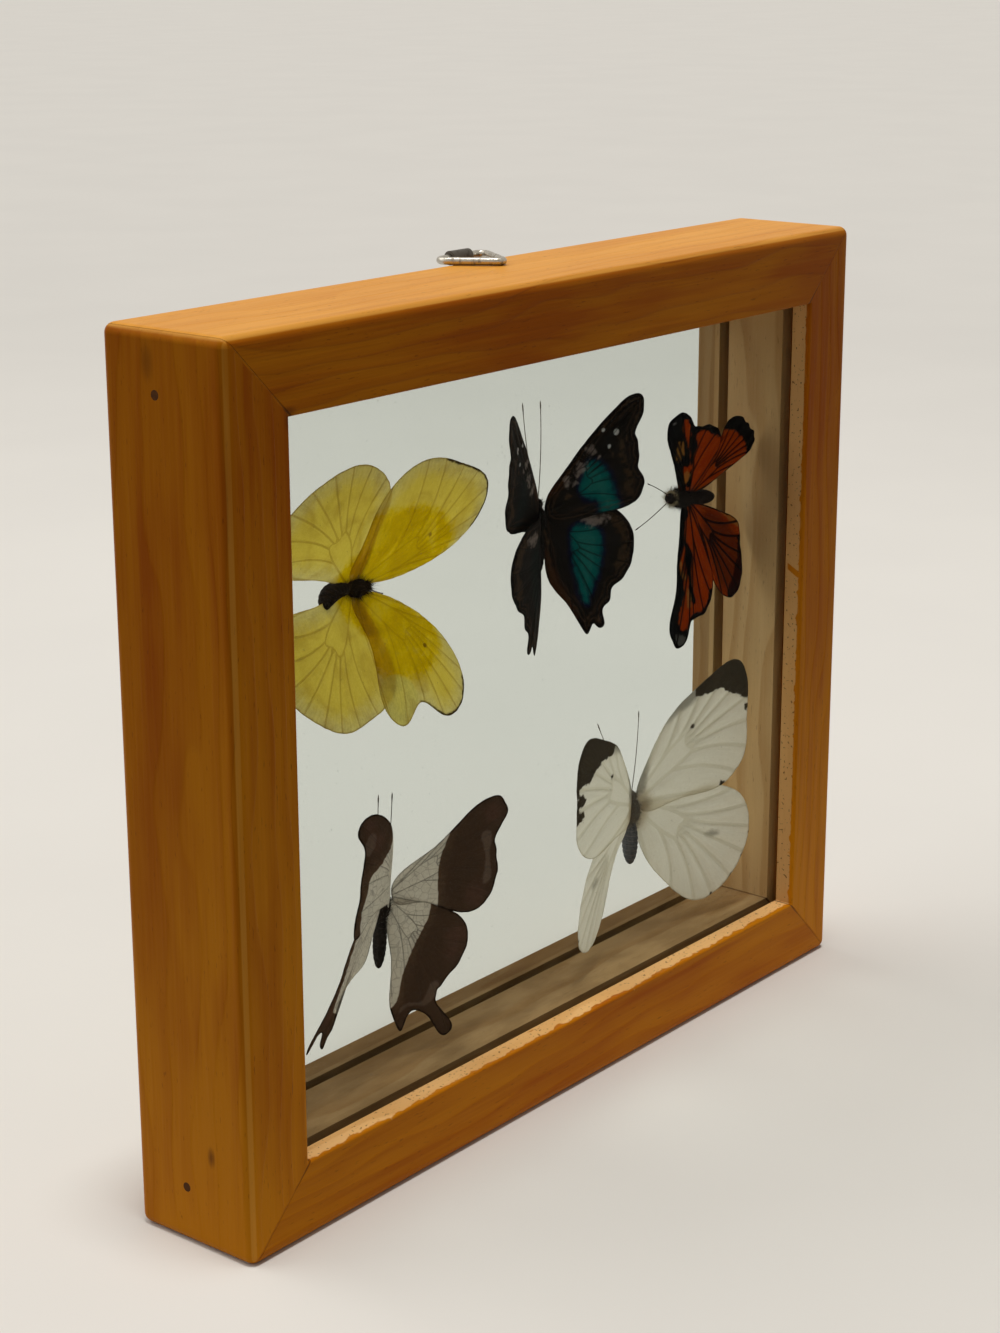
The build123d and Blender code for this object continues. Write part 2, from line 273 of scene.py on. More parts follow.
@dataclass(frozen=True)
class PineFinish:
    """Honey-stained, satin-varnished pine. The sides of the window are bare."""

    name: str
    grain: Grain
    heart: Point  # the tree's middle: across the grain, and in depth
    shift: float  # moves the pattern along the grain, so that no two members match
    case: CaseSize
    marks: tuple[Mark, ...] = ()
    inner_shade: float = 0.1  # how much painted shade darkens the wood between the panes
    deeper: float = 0.0  # how much more stain this member took
    light_stain: Colour = srgb(214, 134, 14)
    dark_stain: Colour = srgb(174, 88, 2)
    left_side_shade: Colour = srgb(60, 16, 0)  # painted shade, drawn over the case's left side
    pore: Colour = srgb(96, 44, 10)
    sheen_and_wear_pale: Colour = srgb(230, 160, 64)  # painted sheen: the top, drawn paler as it catches the light; also the arrises' pale line
    # the deeper tone of the top's painted sheen
    top_sheen_deep: Colour = srgb(209, 134, 45)
    bare_pale: Colour = srgb(252, 210, 150)
    bare_dark: Colour = srgb(214, 164, 104)
    bare_pore: Colour = srgb(120, 80, 48)
    lip_warm: Colour = srgb(240, 170, 84)  # in front of the front pane
    lip_speck: Colour = srgb(104, 58, 22)
    inner_shade_colour: Colour = srgb(106, 74, 42)  # painted shade between the panes
    back_brown: Colour = srgb(116, 70, 36)  # behind the back pane
    groove_shade: Colour = srgb(84, 54, 32)
    mark_dark: Colour = srgb(66, 22, 4)
    seam_dark: Colour = srgb(70, 32, 8)
    ring_width: float = 3.6
    seam_width: float = 0.1
    stain_reach: float = 0.9  # how far the stain runs over the front edge of the window's sides
    stain_wander: float = 3.4  # how far the edge of the stain strays from that line
    upper_shade_heights: Point = (10.0, 165.0)  # heights over which a painted shade darkens the stain, most at the top
    front_lip: Point = (4.6, 4.8)  # where the lip ends at its groove, from the outer face, softly
    back_lip: Point = (4.7, 4.9)
    groove_floor: Point = (-4.4, -4.2)  # in the member, from the window's edge
    relief: float = 0.12  # of the grain

    def material(self) -> bpy.types.Material:
        """The finish as a material."""
        return PineRecipe(self).finished()


class PineRecipe(Recipe):
    """The nodes of one member's pine: the place on it, its grain's figure, and its colours."""

    def __init__(self, finish: PineFinish) -> None:
        """Reads the place and the figure.

        Formula: the rings are saw teeth of the distance from the heart, plus a slow wobble; the
        fibres, dashes and streaks are noise drawn out along the grain. In the member the distance
        inside the window is less than 0.

        Args:
            finish: the member's finish.
        """
        super().__init__(finish.name)
        self.finish = finish
        self.place = self.millimetres()
        self.x, self.y, self.z = self.split(self.place)
        along, across = (self.x, self.z) if finish.grain is Grain.ALONG_X else (self.z, self.x)
        self.grained = self.join(self.plus(along, finish.shift), across, self.y)
        slow = self.vector("MULTIPLY", self.grained, (0.012, 0.05, 0.05))
        wobble = self.times(self.noise(slow, 1.0, 2.0), 16.0)
        out = self.join(self.minus(across, finish.heart[0]), self.minus(self.y, finish.heart[1]), 0.0)
        rings = self.math("DIVIDE", self.plus(self.length(out), wobble), finish.ring_width)
        tooth = self.math("FRACT", rings)
        self.late = self.times(self.step(tooth, 0.25, 0.86), self.step(tooth, 0.9, 1.0, 1.0, 0.0))
        self.fibres = self.long_noise(0.03, 1.5, 4.0)
        self.dash = self.step(self.long_noise(0.16, 2.6, 1.0), 0.68, 0.76)
        self.streak = self.long_noise(0.05, 0.34, 3.0)
        case = finish.case
        self.off_side = self.minus(case.half_width, self.size(self.x))
        self.off_face = self.minus(case.half_depth, self.size(self.y))
        self.off_level = self.minus(case.half_height, self.size(self.minus(self.z, case.half_height)))
        self.inside = self.minus(self.smaller(self.off_side, self.off_level), case.face)

    def long_noise(self, share: float, scale: float, detail: float) -> Socket:
        """Noise drawn out along the grain, the longer the smaller share is."""
        return self.noise(self.vector("MULTIPLY", self.grained, (share, 1.0, 1.0)), scale, detail)

    def arris(self) -> Socket:
        """1 on the outer arrises, where the stain is drawn paler, partly rubbed thin and partly a painted
        highlight, and 0 away from them.

        Formula: on a rounded arris the place is near two outer faces at once, so the larger of
        its two distances from them is small.
        """
        off_top = self.minus(2 * self.finish.case.half_height, self.z)
        near = self.smaller(self.larger(self.off_side, self.off_face), self.larger(off_top, self.off_face))
        return self.step(near, 0.62, 0.85, 1.0, 0.0)

    def stained(self) -> Socket:
        """The outer faces: painted shade high up and at the left; painted sheen on top; arrises worn and
        highlit.
        """
        finish = self.finish
        blotch = self.long_noise(0.3, 0.06, 3.0)
        tone = self.plus(self.times(self.late, 0.2), self.times(self.fibres, 0.42))
        tone = self.plus(tone, self.step(blotch, 0.35, 0.75, -0.18, 0.35))
        tone = self.plus(tone, self.step(self.streak, 0.45, 0.75, -0.02, 0.28))
        # painted shade: the outer faces are drawn darker towards the top
        pool = self.step(self.z, *finish.upper_shade_heights, finish.deeper - 0.24, finish.deeper + 0.34)
        side = self.blend(self.plus(tone, pool), finish.light_stain, finish.dark_stain)
        # painted sheen: the top is drawn paler, as if lit
        top_sheen = self.blend(tone, finish.sheen_and_wear_pale, finish.top_sheen_deep)
        top = 2 * finish.case.half_height
        colour = self.blend(self.step(self.z, top - 1.0, top - 0.45), side, top_sheen)
        # painted shade: the left side's outer faces are drawn darker
        left = -finish.case.half_width
        left_shade_share = self.step(self.x, left + 0.05, left + 0.4, 0.22, 0.0)
        colour = self.blend(left_shade_share, colour, finish.left_side_shade)
        colour = self.blend(self.times(self.dash, 0.35), colour, finish.pore)
        # the arrises are drawn paler: partly wear, partly a painted highlight
        rubbed_and_highlit = self.times(self.arris(), self.step(self.streak, 0.3, 0.6, 0.2, 0.6))
        return self.blend(rubbed_and_highlit, colour, finish.sheen_and_wear_pale)

    def bare(self) -> Socket:
        """The window's sides: warm and specked in front, with painted shade behind the front pane, browner
        at the back.
        """
        finish, depth = self.finish, self.finish.case.half_depth
        tone = self.plus(self.times(self.late, 0.45), self.times(self.fibres, 0.45))
        colour = self.blend(tone, finish.bare_pale, finish.bare_dark)
        colour = self.blend(self.times(self.dash, 0.3), colour, finish.bare_pore)
        start, end = finish.front_lip
        in_front = self.step(self.y, start - depth, end - depth, 1.0, 0.0)
        specks = self.times(self.step(self.noise(self.place, 1.3, 2.0), 0.635, 0.68), 0.75)
        lip = self.blend(specks, self.blend(0.4, colour, finish.lip_warm), finish.lip_speck)
        colour = self.blend(in_front, colour, lip)
        # painted shade: the wood behind the front pane is drawn darker, in mottled patches
        mottle = self.step(self.long_noise(0.35, 0.22, 4.0), 0.3, 0.7, 0.75, 1.0)
        between = self.times(self.minus(1.0, in_front), finish.inner_shade)
        colour = self.blend(self.times(between, mottle), colour, finish.inner_shade_colour)
        start, end = finish.back_lip
        behind = self.step(self.y, depth - end, depth - start, 0.0, 0.35)
        return self.blend(behind, colour, finish.back_brown)

    def bare_share(self) -> Socket:
        """1 on bare wood, the window's sides and grooves up to the stain's ragged edge, and else 0."""
        finish, depth = self.finish, self.finish.case.half_depth
        ragged = self.times(self.noise(self.place, 0.35, 4.0), finish.stain_wander)
        from_edge = self.plus(self.y, depth - finish.stain_reach)
        past_stain = self.step(self.plus(from_edge, self.minus(ragged, 1.75)), -0.15, 0.15)
        off_back = self.step(self.y, depth - 0.12, depth - 0.04, 1.0, 0.0)
        on_side = self.step(self.plus(self.inside, self.step(self.y, 2.0, 6.0)), -0.62, -0.4)
        off_faces = self.step(self.size(self.y), depth - 1.2, depth - 0.8, 1.0, 0.0)
        near = self.times(self.step(self.inside, *finish.groove_floor), self.larger(on_side, off_faces))
        blob = self.noise(self.join(self.y, self.z, self.x), 0.11, 2.0, 0.6)
        spilled = self.times(self.step(blob, 0.7, 0.73), self.step(self.y, -11.5, -10.9, 1.0, 0.0))
        share = self.times(self.times(past_stain, off_back), near)
        return self.times(share, self.minus(1.0, spilled))

    def marked(self, colour: Socket) -> Socket:
        """A colour with the member's small dark marks on it, each longest along the grain."""
        drawn = (0.45, 1.0, 1.0) if self.finish.grain is Grain.ALONG_X else (1.0, 1.0, 0.45)
        for mark in self.finish.marks:
            out = self.vector("MULTIPLY", self.vector("SUBTRACT", self.place, mark.place), drawn)
            edge = self.plus(self.length(out), self.times(self.fibres, mark.radius * 0.7))
            share = self.step(edge, mark.radius * 0.6, mark.radius * 1.6, mark.darkness, 0.0)
            colour = self.blend(share, colour, self.finish.mark_dark)
        return colour

    def seam(self) -> tuple[Socket, Socket]:
        """The mitre's joint, a little open near the window.

        Formula: the joint is where the distance from the outer side is the same as the distance
        from the outer top or base.

        Returns:
            1 in the joint, and how dark the joint is.
        """
        opened = self.step(self.inside, -5.5, -1.0)
        aside = self.size(self.minus(self.off_side, self.off_level))
        width = self.finish.seam_width
        joint = self.step(self.minus(aside, self.times(opened, 0.16)), width * 0.5, width * 1.6, 1.0, 0.0)
        return joint, self.times(joint, self.math("MULTIPLY_ADD", opened, 0.46, 0.14))

    def finished(self) -> bpy.types.Material:
        """The material, from all of its parts."""
        share = self.bare_share()
        colour = self.blend(share, self.stained(), self.bare())
        in_groove = self.times(self.step(self.inside, -0.4, -0.15, 1.0, 0.0), share)
        colour = self.blend(self.times(in_groove, 0.12), colour, self.finish.groove_shade)
        joint, joint_share = self.seam()
        colour = self.blend(joint_share, self.marked(colour), self.finish.seam_dark)
        height = self.plus(self.times(self.fibres, 0.6), self.times(self.late, 0.4))
        height = self.minus(height, self.times(joint, 1.5))
        rough = self.plus(self.times(self.fibres, 0.16), self.step(share, 0.0, 1.0, 0.34, 0.66))
        normal = self.bump(height, self.finish.relief)
        return self.done(self.principled(Base_Color=colour, Roughness=rough, Normal=normal,
                                         Specular_IOR_Level=0.05))


@dataclass(frozen=True)
class PaneFinish:
    """Clear window glass with a little dust and a few faint wiping marks."""

    name: str = "window_glass"
    tint: Colour = srgb(246, 248, 247)
    reflecting: float = 0.03  # of what a bare pane would send back
    head_on: float = 0.04  # what a bare pane sends back of light that meets it squarely
    gloss: Colour = (0.9, 0.9, 0.9)
    dust: Colour = srgb(214, 212, 205)
    speck_share: float = 0.12  # how much dust covers the glass in its specks
    wiped_share: float = 0.003

    def material(self) -> bpy.types.Material:
        """The finish as a material."""
        r = Recipe(self.name)
        place = r.millimetres()
        clear = r.node("BsdfTransparent", {"Color": self.tint})
        shine = r.node("BsdfGlossy", {"Color": self.gloss, "Roughness": 0.03})
        grazing = r.math("POWER", r.node("LayerWeight", {"Blend": 0.5}).outputs["Facing"], 5.0)
        sent_back = r.math("MULTIPLY_ADD", grazing, (1.0 - self.head_on) * self.reflecting,
                           self.head_on * self.reflecting)
        glass = r.mix(sent_back, clear, shine)
        specks = r.step(r.noise(place, 1.1, 1.0), 0.765, 0.79)
        x, y, z = r.split(place)
        swirl = r.join(r.plus(x, r.times(z, 0.7)), y, r.times(z, 0.25))
        wiped = r.step(r.noise(swirl, 0.06, 5.0, 1.4), 0.5, 0.8)
        share = r.plus(r.times(specks, self.speck_share), r.times(wiped, self.wiped_share))
        film = r.node("BsdfDiffuse", {"Color": self.dust})
        return r.done(r.mix(share, glass, film))


@dataclass(frozen=True)
class SteelFinish:
    """Plated steel wire and sheet, with fine drawing marks and dull spots."""

    name: str
    colour: Colour = srgb(188, 182, 170)
    dull: Colour = srgb(112, 100, 84)
    smooth: float = 0.26
    drawn: Place = (0.4, 4.0, 4.0)  # the fine marks are longest where this is least

    def material(self) -> bpy.types.Material:
        """The finish as a material."""
        r = Recipe(self.name)
        place = r.millimetres()
        lines = r.noise(r.vector("MULTIPLY", place, self.drawn), 2.0, 3.0)
        spots = r.step(r.noise(place, 0.9, 4.0), 0.5, 0.72)
        colour = r.blend(r.times(spots, 0.65), self.colour, self.dull)
        rough = r.plus(r.times(lines, 0.16), r.step(spots, 0.0, 1.0, self.smooth, 0.5))
        return r.done(r.principled(Base_Color=colour, Metallic=1.0, Roughness=rough,
                                   Normal=r.bump(lines, 0.03)))


@dataclass(frozen=True)
class GlueFinish:
    """Clear amber glue, clouded by small bubbles."""

    name: str = "glue"
    colour: Colour = srgb(214, 186, 130)
    bubble: Colour = srgb(240, 228, 196)
    through: Colour = srgb(250, 236, 205)
    clouded: float = 0.55  # how much of what meets it doesn't pass

    def material(self) -> bpy.types.Material:
        """The finish as a material."""
        r = Recipe(self.name)
        place = r.millimetres()
        bubbles = r.step(r.noise(place, 3.5, 2.0), 0.55, 0.7)
        colour = r.blend(r.times(bubbles, 0.5), self.colour, self.bubble)
        skin = r.principled(Base_Color=colour, Roughness=0.16, Normal=r.bump(bubbles, 0.05))
        return r.done(r.mix(self.clouded, r.node("BsdfTransparent", {"Color": self.through}), skin))


@dataclass(frozen=True)
class Layer:
    """One patch, band or border of colour on a wing, in millimetres.

    It lies where field is below at, or in a band of width about at where width is given, and
    only inside the area named by within where that is given.
    """

    colour: Colour
    field: str
    at: float = 0.0
    width: float = 0.0
    soft: float = 0.25
    ragged: float = 0.3  # how far its edge wanders
    share: float = 1.0  # how much it covers
    within: str = ""
    scallop: float = 0.0  # how far its edge bows between the veins
    sheen: bool = False  # seen face on, and lost at a slant, as the gloss of blue scales is


@dataclass(frozen=True)
class WingFinish:
    """Scaled butterfly wings: a ground colour, layers of pattern, veins, and light coming through."""

    name: str
    ground: Colour
    shade: Colour
    layers: tuple[Layer, ...]
    vein_colour: Colour
    vein_width: float = 0.16
    vein_share: float = 0.6
    net_share: float = 0.0
    net_outside: str = ""  # the net of fine veins stops where this area starts
    light_through: float = 0.5
    streaks: float = 0.35
    roughness: float = 0.6
    clouds: float = 0.0  # how strongly thin and folded places show, paler and darker

    def mask(self, r: Recipe, layer: Layer, wander: Socket, vein: Socket) -> Socket:
        """Where one layer lies.

        Args:
            r: the recipe.
            layer: the layer.
            wander: noise from -2 to 2, for ragged edges.
            vein: distance from the nearest vein.

        Returns:
            Its share, 0 to 1.
        """
        value = r.plus(r.attribute(layer.field), r.times(wander, layer.ragged))
        if layer.scallop:
            value = r.plus(value, r.step(vein, 0.0, 1.6, layer.scallop, -layer.scallop))
        value = r.minus(value, layer.at)
        if layer.width:
            value = r.minus(r.size(value), layer.width / 2)
        share = r.step(value, -layer.soft, layer.soft, layer.share, 0.0)
        if layer.within:
            share = r.times(share, r.step(r.attribute(layer.within), -0.6, 0.6, 1.0, 0.0))
        if layer.sheen:
            slant = r.node("LayerWeight", {"Blend": 0.5}).outputs["Facing"]
            share = r.times(share, r.step(slant, 0.14, 0.34, 1.0, 0.02))
        return share

    def vein_lines(self, r: Recipe, vein: Socket) -> Socket:
        """1 on the veins outside the long cell and on the cell's outline, and 0 off them."""
        half = self.vein_width / 2
        cell = r.attribute("cell")
        on_vein = r.times(r.step(vein, half, half * 2.2, 1.0, 0.0), r.step(cell, -0.15, 0.15))
        return r.larger(on_vein, r.step(r.size(cell), half, half * 2.2, 1.0, 0.0))

    def veined(self, r: Recipe, plan: Socket, line: Socket, colour: Socket) -> Socket:
        """The net of fine veins, the veins and the darker rim, laid over a colour.

        Args:
            r: the recipe.
            plan: place in the wing's plane.
            line: 1 on the veins.
            colour: the colour below.

        Returns:
            The colour with its veins.
        """
        if self.net_share:
            cracks = r.node("TexVoronoi", {"Vector": plan, "Scale": 0.62}, feature="DISTANCE_TO_EDGE")
            net = r.step(cracks.outputs["Distance"], 0.015, 0.06, self.net_share, 0.0)
            net = r.times(net, r.step(r.attribute(self.net_outside), 0.1, 0.7))
            colour = r.blend(net, colour, self.vein_colour, "DARKEN")
        colour = r.blend(r.times(line, self.vein_share), colour, self.vein_colour, "DARKEN")
        rim = r.step(r.attribute("margin"), 0.05, 0.3, 0.45, 0.0)
        return r.blend(rim, colour, self.vein_colour, "DARKEN")

    def material(self) -> bpy.types.Material:
        """The finish as a material."""
        r = Recipe(self.name)
        plan = r.attribute("plan", "Vector")
        fine = r.noise(plan, 2.2, 3.0)
        wander = r.math("MULTIPLY_ADD", r.noise(plan, 0.9, 3.0), 4.0, -2.0)
        vein = r.size(r.attribute("vein"))
        along_ray = r.join(r.times(r.attribute("ray"), 14.0), r.times(r.attribute("reach"), 0.12), 0.0)
        strand = r.noise(along_ray, 1.0, 2.0)
        cloud = r.plus(r.times(fine, 0.4), r.times(strand, self.streaks))
        colour = r.blend(r.step(cloud, 0.15, 0.65), self.ground, self.shade)
        for layer in self.layers:
            tint = r.blend(r.step(cloud, 0.2, 0.6, 0.0, 0.3), layer.colour, BLACK)
            colour = r.blend(self.mask(r, layer, wander, vein), colour, tint)
        if self.clouds:
            folded = r.noise(plan, 0.15, 2.0, 1.0)
            thin = r.step(folded, 0.45, 0.75, 0.0, self.clouds)
            colour = r.blend(thin, colour, self.ground)
            thick = r.step(folded, 0.25, 0.55, self.clouds, 0.0)
            colour = r.blend(thick, colour, self.vein_colour, "DARKEN")
        line = self.vein_lines(r, vein)
        colour = self.veined(r, plan, line, colour)
        height = r.plus(line, r.times(fine, 0.35))
        normal = r.bump(height, 0.06)
        skin = r.principled(Base_Color=colour, Roughness=self.roughness, Normal=normal,
                            Specular_IOR_Level=0.04)
        through = r.node("BsdfTranslucent", {"Color": colour, "Normal": normal})
        return r.done(r.mix(self.light_through, skin, through))


@dataclass(frozen=True)
class BodyFinish:
    """The fuzzy thorax and banded abdomen of a dried butterfly."""

    name: str
    thorax: Colour
    abdomen: Colour
    bands: Colour
    roughness: float = 0.75
    waist: Point = (0.42, 0.52)  # where the thorax gives way to the abdomen

    def material(self) -> bpy.types.Material:
        """The finish as a material. The mesh's "length" runs from 0 at the head to 1 at the tail."""
        r = Recipe(self.name)
        place = r.millimetres()
        length = r.attribute("length")
        fuzz = r.noise(place, 3.0, 4.0)
        behind = r.step(r.plus(length, r.times(fuzz, 0.08)), *self.waist)
        colour = r.blend(behind, self.thorax, self.abdomen)
        ring = r.math("FRACT", r.times(length, BODY_RINGS))
        banded = r.times(r.step(ring, 0.72, 0.95), behind)
        colour = r.blend(r.times(banded, 0.6), colour, self.bands)
        colour = r.blend(r.step(fuzz, 0.35, 0.75, 0.0, 0.5), colour, self.bands)
        return r.done(r.principled(Base_Color=colour, Roughness=self.roughness, Specular_IOR_Level=0.08,
                                   Normal=r.bump(fuzz, 0.2)))


@dataclass(frozen=True)
class HairFinish:
    """Fine hairs, feelers and legs: one colour, paler and darker from strand to strand."""

    name: str
    colour: Colour
    other: Colour
    at_head: Optional[Colour] = None

    def material(self) -> bpy.types.Material:
        """The finish as a material."""
        r = Recipe(self.name)
        tone = r.step(r.noise(r.millimetres(), 1.8, 2.0), 0.35, 0.7)
        colour = r.blend(tone, self.colour, self.other)
        if self.at_head:
            ahead = r.step(r.attribute("length"), 0.07, 0.13, 0.85, 0.0)
            colour = r.blend(ahead, colour, self.at_head)
        return r.done(r.principled(Base_Color=colour, Roughness=0.7, Specular_IOR_Level=0.08))


# ---------------------------------------------------------------- curves and surfaces
def unit(rows: np.ndarray) -> np.ndarray:
    """Vectors of the same directions, one long."""
    return rows / np.linalg.norm(rows, axis=-1, keepdims=True)


def bent(start: np.ndarray, middle: np.ndarray, end: np.ndarray, count: int) -> np.ndarray:
    """A bent line from start, towards middle, to end.

    Formula: p(t) = (1 - t)^2 start + 2 t (1 - t) middle + t^2 end.

    Args:
        start: its first place.
        middle: the place that it bends towards.
        end: its last place.
        count: how many places to give.

    Returns:
        The places.
    """
    t = np.linspace(0, 1, count)[:, None]
    return (1 - t) ** 2 * start + 2 * t * (1 - t) * middle + t**2 * end


def off_pieces(places: np.ndarray, start: np.ndarray, side: np.ndarray) -> np.ndarray:
    """How places stand off straight pieces.

    Args:
        places: n by 2.
        start: where each piece starts, m by 2.
        side: from its start to its end, m by 2.

    Returns:
        From the nearest point of each piece to each place, n by m by 2.
    """
    out = places[:, None] - start[None]
    share = np.clip((out * side).sum(-1) / np.maximum((side**2).sum(-1), 1e-12), 0, 1)
    return out - share[..., None] * side


def closed_curve(points: Sequence[Point], count: int) -> np.ndarray:
    """A smooth closed curve through points, as places at even steps of its length.

    Formula: cubic Hermite pieces between the points, whose tangents make the second derivative
    run on through every point.

    Args:
        points: the points, in order.
        count: how many places to give.

    Returns:
        An array of count by 2.
    """
    knots = np.array(points, float)
    n = len(knots)
    gap = np.linalg.norm(np.roll(knots, -1, 0) - knots, axis=1)
    before = np.roll(gap, 1)
    rows = np.arange(n)
    system = np.zeros((n, n))
    system[rows, (rows - 1) % n] += 1 / before
    system[rows, rows] += 2 / before + 2 / gap
    system[rows, (rows + 1) % n] += 1 / gap
    ahead = (np.roll(knots, -1, 0) - knots) / gap[:, None] ** 2
    behind = (knots - np.roll(knots, 1, 0)) / before[:, None] ** 2
    slope = np.linalg.solve(system, 3 * (ahead + behind))

    def at(distance: np.ndarray) -> np.ndarray:
        """Places at distances along the curve, counted on its straight chords."""
        start = np.r_[0.0, np.cumsum(gap)]
        i = np.clip(np.searchsorted(start, distance, side="right") - 1, 0, n - 1)
        u = ((distance - start[i]) / gap[i])[:, None]
        h = gap[i][:, None]
        j = (i + 1) % n
        return ((1 + 2 * u) * (1 - u) ** 2 * knots[i] + u * (1 - u) ** 2 * h * slope[i]
                + u * u * (3 - 2 * u) * knots[j] + u * u * (u - 1) * h * slope[j])

    fine = np.linspace(0, gap.sum(), 8 * count + 1)
    way = at(fine)
    run = np.r_[0.0, np.cumsum(np.linalg.norm(np.diff(way, axis=0), axis=1))]
    return at(np.interp(np.arange(count) / count * run[-1], run, fine))


def outline_distance(places: np.ndarray, outline: np.ndarray) -> np.ndarray:
    """Distance from places to a closed outline, negative inside it.

    Formula: the least distance to the outline's straight pieces; a place is inside where a ray
    from it crosses the outline an odd number of times.

    Args:
        places: n by 2.
        outline: m by 2, in order.

    Returns:
        n distances.
    """
    end = np.roll(outline, -1, 0)
    side = end - outline
    away = np.linalg.norm(off_pieces(places, outline, side), axis=-1).min(1)
    x, y = places[:, :1], places[:, 1:]
    crosses = (outline[:, 1] > y) != (end[:, 1] > y)
    drop = np.where(np.abs(side[:, 1]) < 1e-12, 1e-12, side[:, 1])
    reach = outline[:, 0] + (y - outline[:, 1]) / drop * side[:, 0]
    inside = (crosses & (x < reach)).sum(1) % 2 == 1
    return np.where(inside, -away, away)


def ring_faces(rings: int, columns: int, first: int = 0) -> np.ndarray:
    """Quads between rings of vertices that each close on themselves.

    Args:
        rings: how many rings.
        columns: vertices in each.
        first: number of the first vertex.

    Returns:
        (rings - 1) * columns quads.
    """
    j, i = np.meshgrid(np.arange(rings - 1), np.arange(columns), indexing="ij")
    a = first + j * columns + i
    b = first + j * columns + (i + 1) % columns
    return np.stack([a, b, b + columns, a + columns], -1).reshape(-1, 4)


def placed(name: str, data: bpy.types.ID) -> bpy.types.Object:
    """An object that shows a mesh, a lamp or a camera, in the scene."""
    made = bpy.data.objects.new(name, data)
    bpy.context.collection.objects.link(made)
    return made


def make_mesh(name: str, solid: Solid, material: bpy.types.Material,
              values: Optional[dict[str, np.ndarray]] = None, smooth: bool = True,
              body: str = "case") -> bpy.types.Object:
    """A finished piece: a mesh at its place, in metres, riding on a body.

    Args:
        name: the piece's name.
        solid: its vertices, in millimetres, and its faces.
        material: its finish.
        values: numbers or vectors that the mesh carries for its finish.
        smooth: whether it is shaded smooth.
        body: the CAD body that it rides on.

    Returns:
        The object.
    """
    places, faces = solid
    mesh = bpy.data.meshes.new(name)
    mesh.from_pydata((places * MM).tolist(), [], [list(map(int, f)) for f in faces])
    for key, value in (values or {}).items():
        kind, target = ("FLOAT_VECTOR", "vector") if value.ndim == 2 else ("FLOAT", "value")
        mesh.attributes.new(key, kind, "POINT").data.foreach_set(target, value.astype(np.float32).ravel())
    mesh.polygons.foreach_set("use_smooth", np.full(len(mesh.polygons), smooth))
    mesh.materials.append(material)
    mesh.update()
    made = placed(name, mesh)
    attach(made, body)
    return made


def tube(path: np.ndarray, radii: np.ndarray, sides: int, deep: float = 1.0) -> Solid:
    """A tube along a path, closed at both ends.

    Formula: p(t, a) = path(t) + radius(t) (cos a * e1(t) + deep sin a * e2(t)), where e1 and e2
    are at right angles to the path.

    Args:
        path: n by 3.
        radii: n radii.
        sides: vertices round the tube.
        deep: how much deeper than wide its section is.

    Returns:
        Its vertices and its faces.
    """
    way = unit(np.gradient(path, axis=0))
    up = np.array([0.0, 1.0, 0.0]) if abs(way[:, 1]).max() < 0.9 else np.array([0.0, 0.0, 1.0])
    e1 = unit(np.cross(way, up))
    e2 = np.cross(way, e1)
    a = np.arange(sides) / sides * 2 * math.pi
    ring = np.cos(a)[None, :, None] * e1[:, None] + deep * np.sin(a)[None, :, None] * e2[:, None]
    places = (path[:, None] + radii[:, None, None] * ring).reshape(-1, 3)
    start_cap = list(reversed(range(sides)))
    end_cap = [(len(path) - 1) * sides + k for k in range(sides)]
    return places, ring_faces(len(path), sides).tolist() + [start_cap, end_cap]


def joined(parts: Sequence[Solid]) -> Solid:
    """Several closed shapes as one list of vertices and one of faces."""
    first, faces = 0, []
    for places, own_faces in parts:
        faces += [[first + k for k in face] for face in own_faces]
        first += len(places)
    return np.vstack([places for places, _ in parts]), faces


# ---------------------------------------------------------------- the butterflies
FAR_OFF = 60.0  # further than any wing reaches, in millimetres
HAIR_BACK = 6.7  # no hair reaches further back, where the back pane is
# Where the veins leave the long cell, and the cell's corners, as shares of its length and half width.
VEIN_STARTS = ((0.05, 0.15), (0.55, 0.82), (0.86, 1.0), (0.98, 0.8), (1.0, 0.4), (0.95, -0.05),
               (0.97, -0.5), (0.92, -0.95), (0.6, -0.8), (0.05, -0.15))
CELL_CORNERS = ((0.03, 0.0), (0.45, 0.7), (0.85, 1.0), (1.0, 0.7), (0.94, -0.05), (0.98, -0.8),
                (0.8, -1.0), (0.4, -0.6))
# Head, thorax and abdomen as (middle, half length, girth), in shares of the body's length and radius.
BODY_PARTS = ((0.07, 0.072, 0.62), (0.27, 0.18, 1.0), (0.68, 0.325, 0.8))
LEGS = ((0.2, 1.9), (0.28, 2.3), (0.36, 2.7))  # each pair's start, as a share of the body, and reach
# Rings along each tube, and vertices round it.
BODY_MESH, EYE_MESH, FEELER_MESH, LEG_MESH = (110, 40), (14, 20), (44, 10), (16, 7)
EYE_RADIUS, EYE_HALF_LENGTH, HAIR_RADIUS = 0.62, 0.55, 0.035
ABDOMEN_START = 0.42  # as a share of the body's length
BACKWARD = np.array([0.0, 1.0, 0.0])


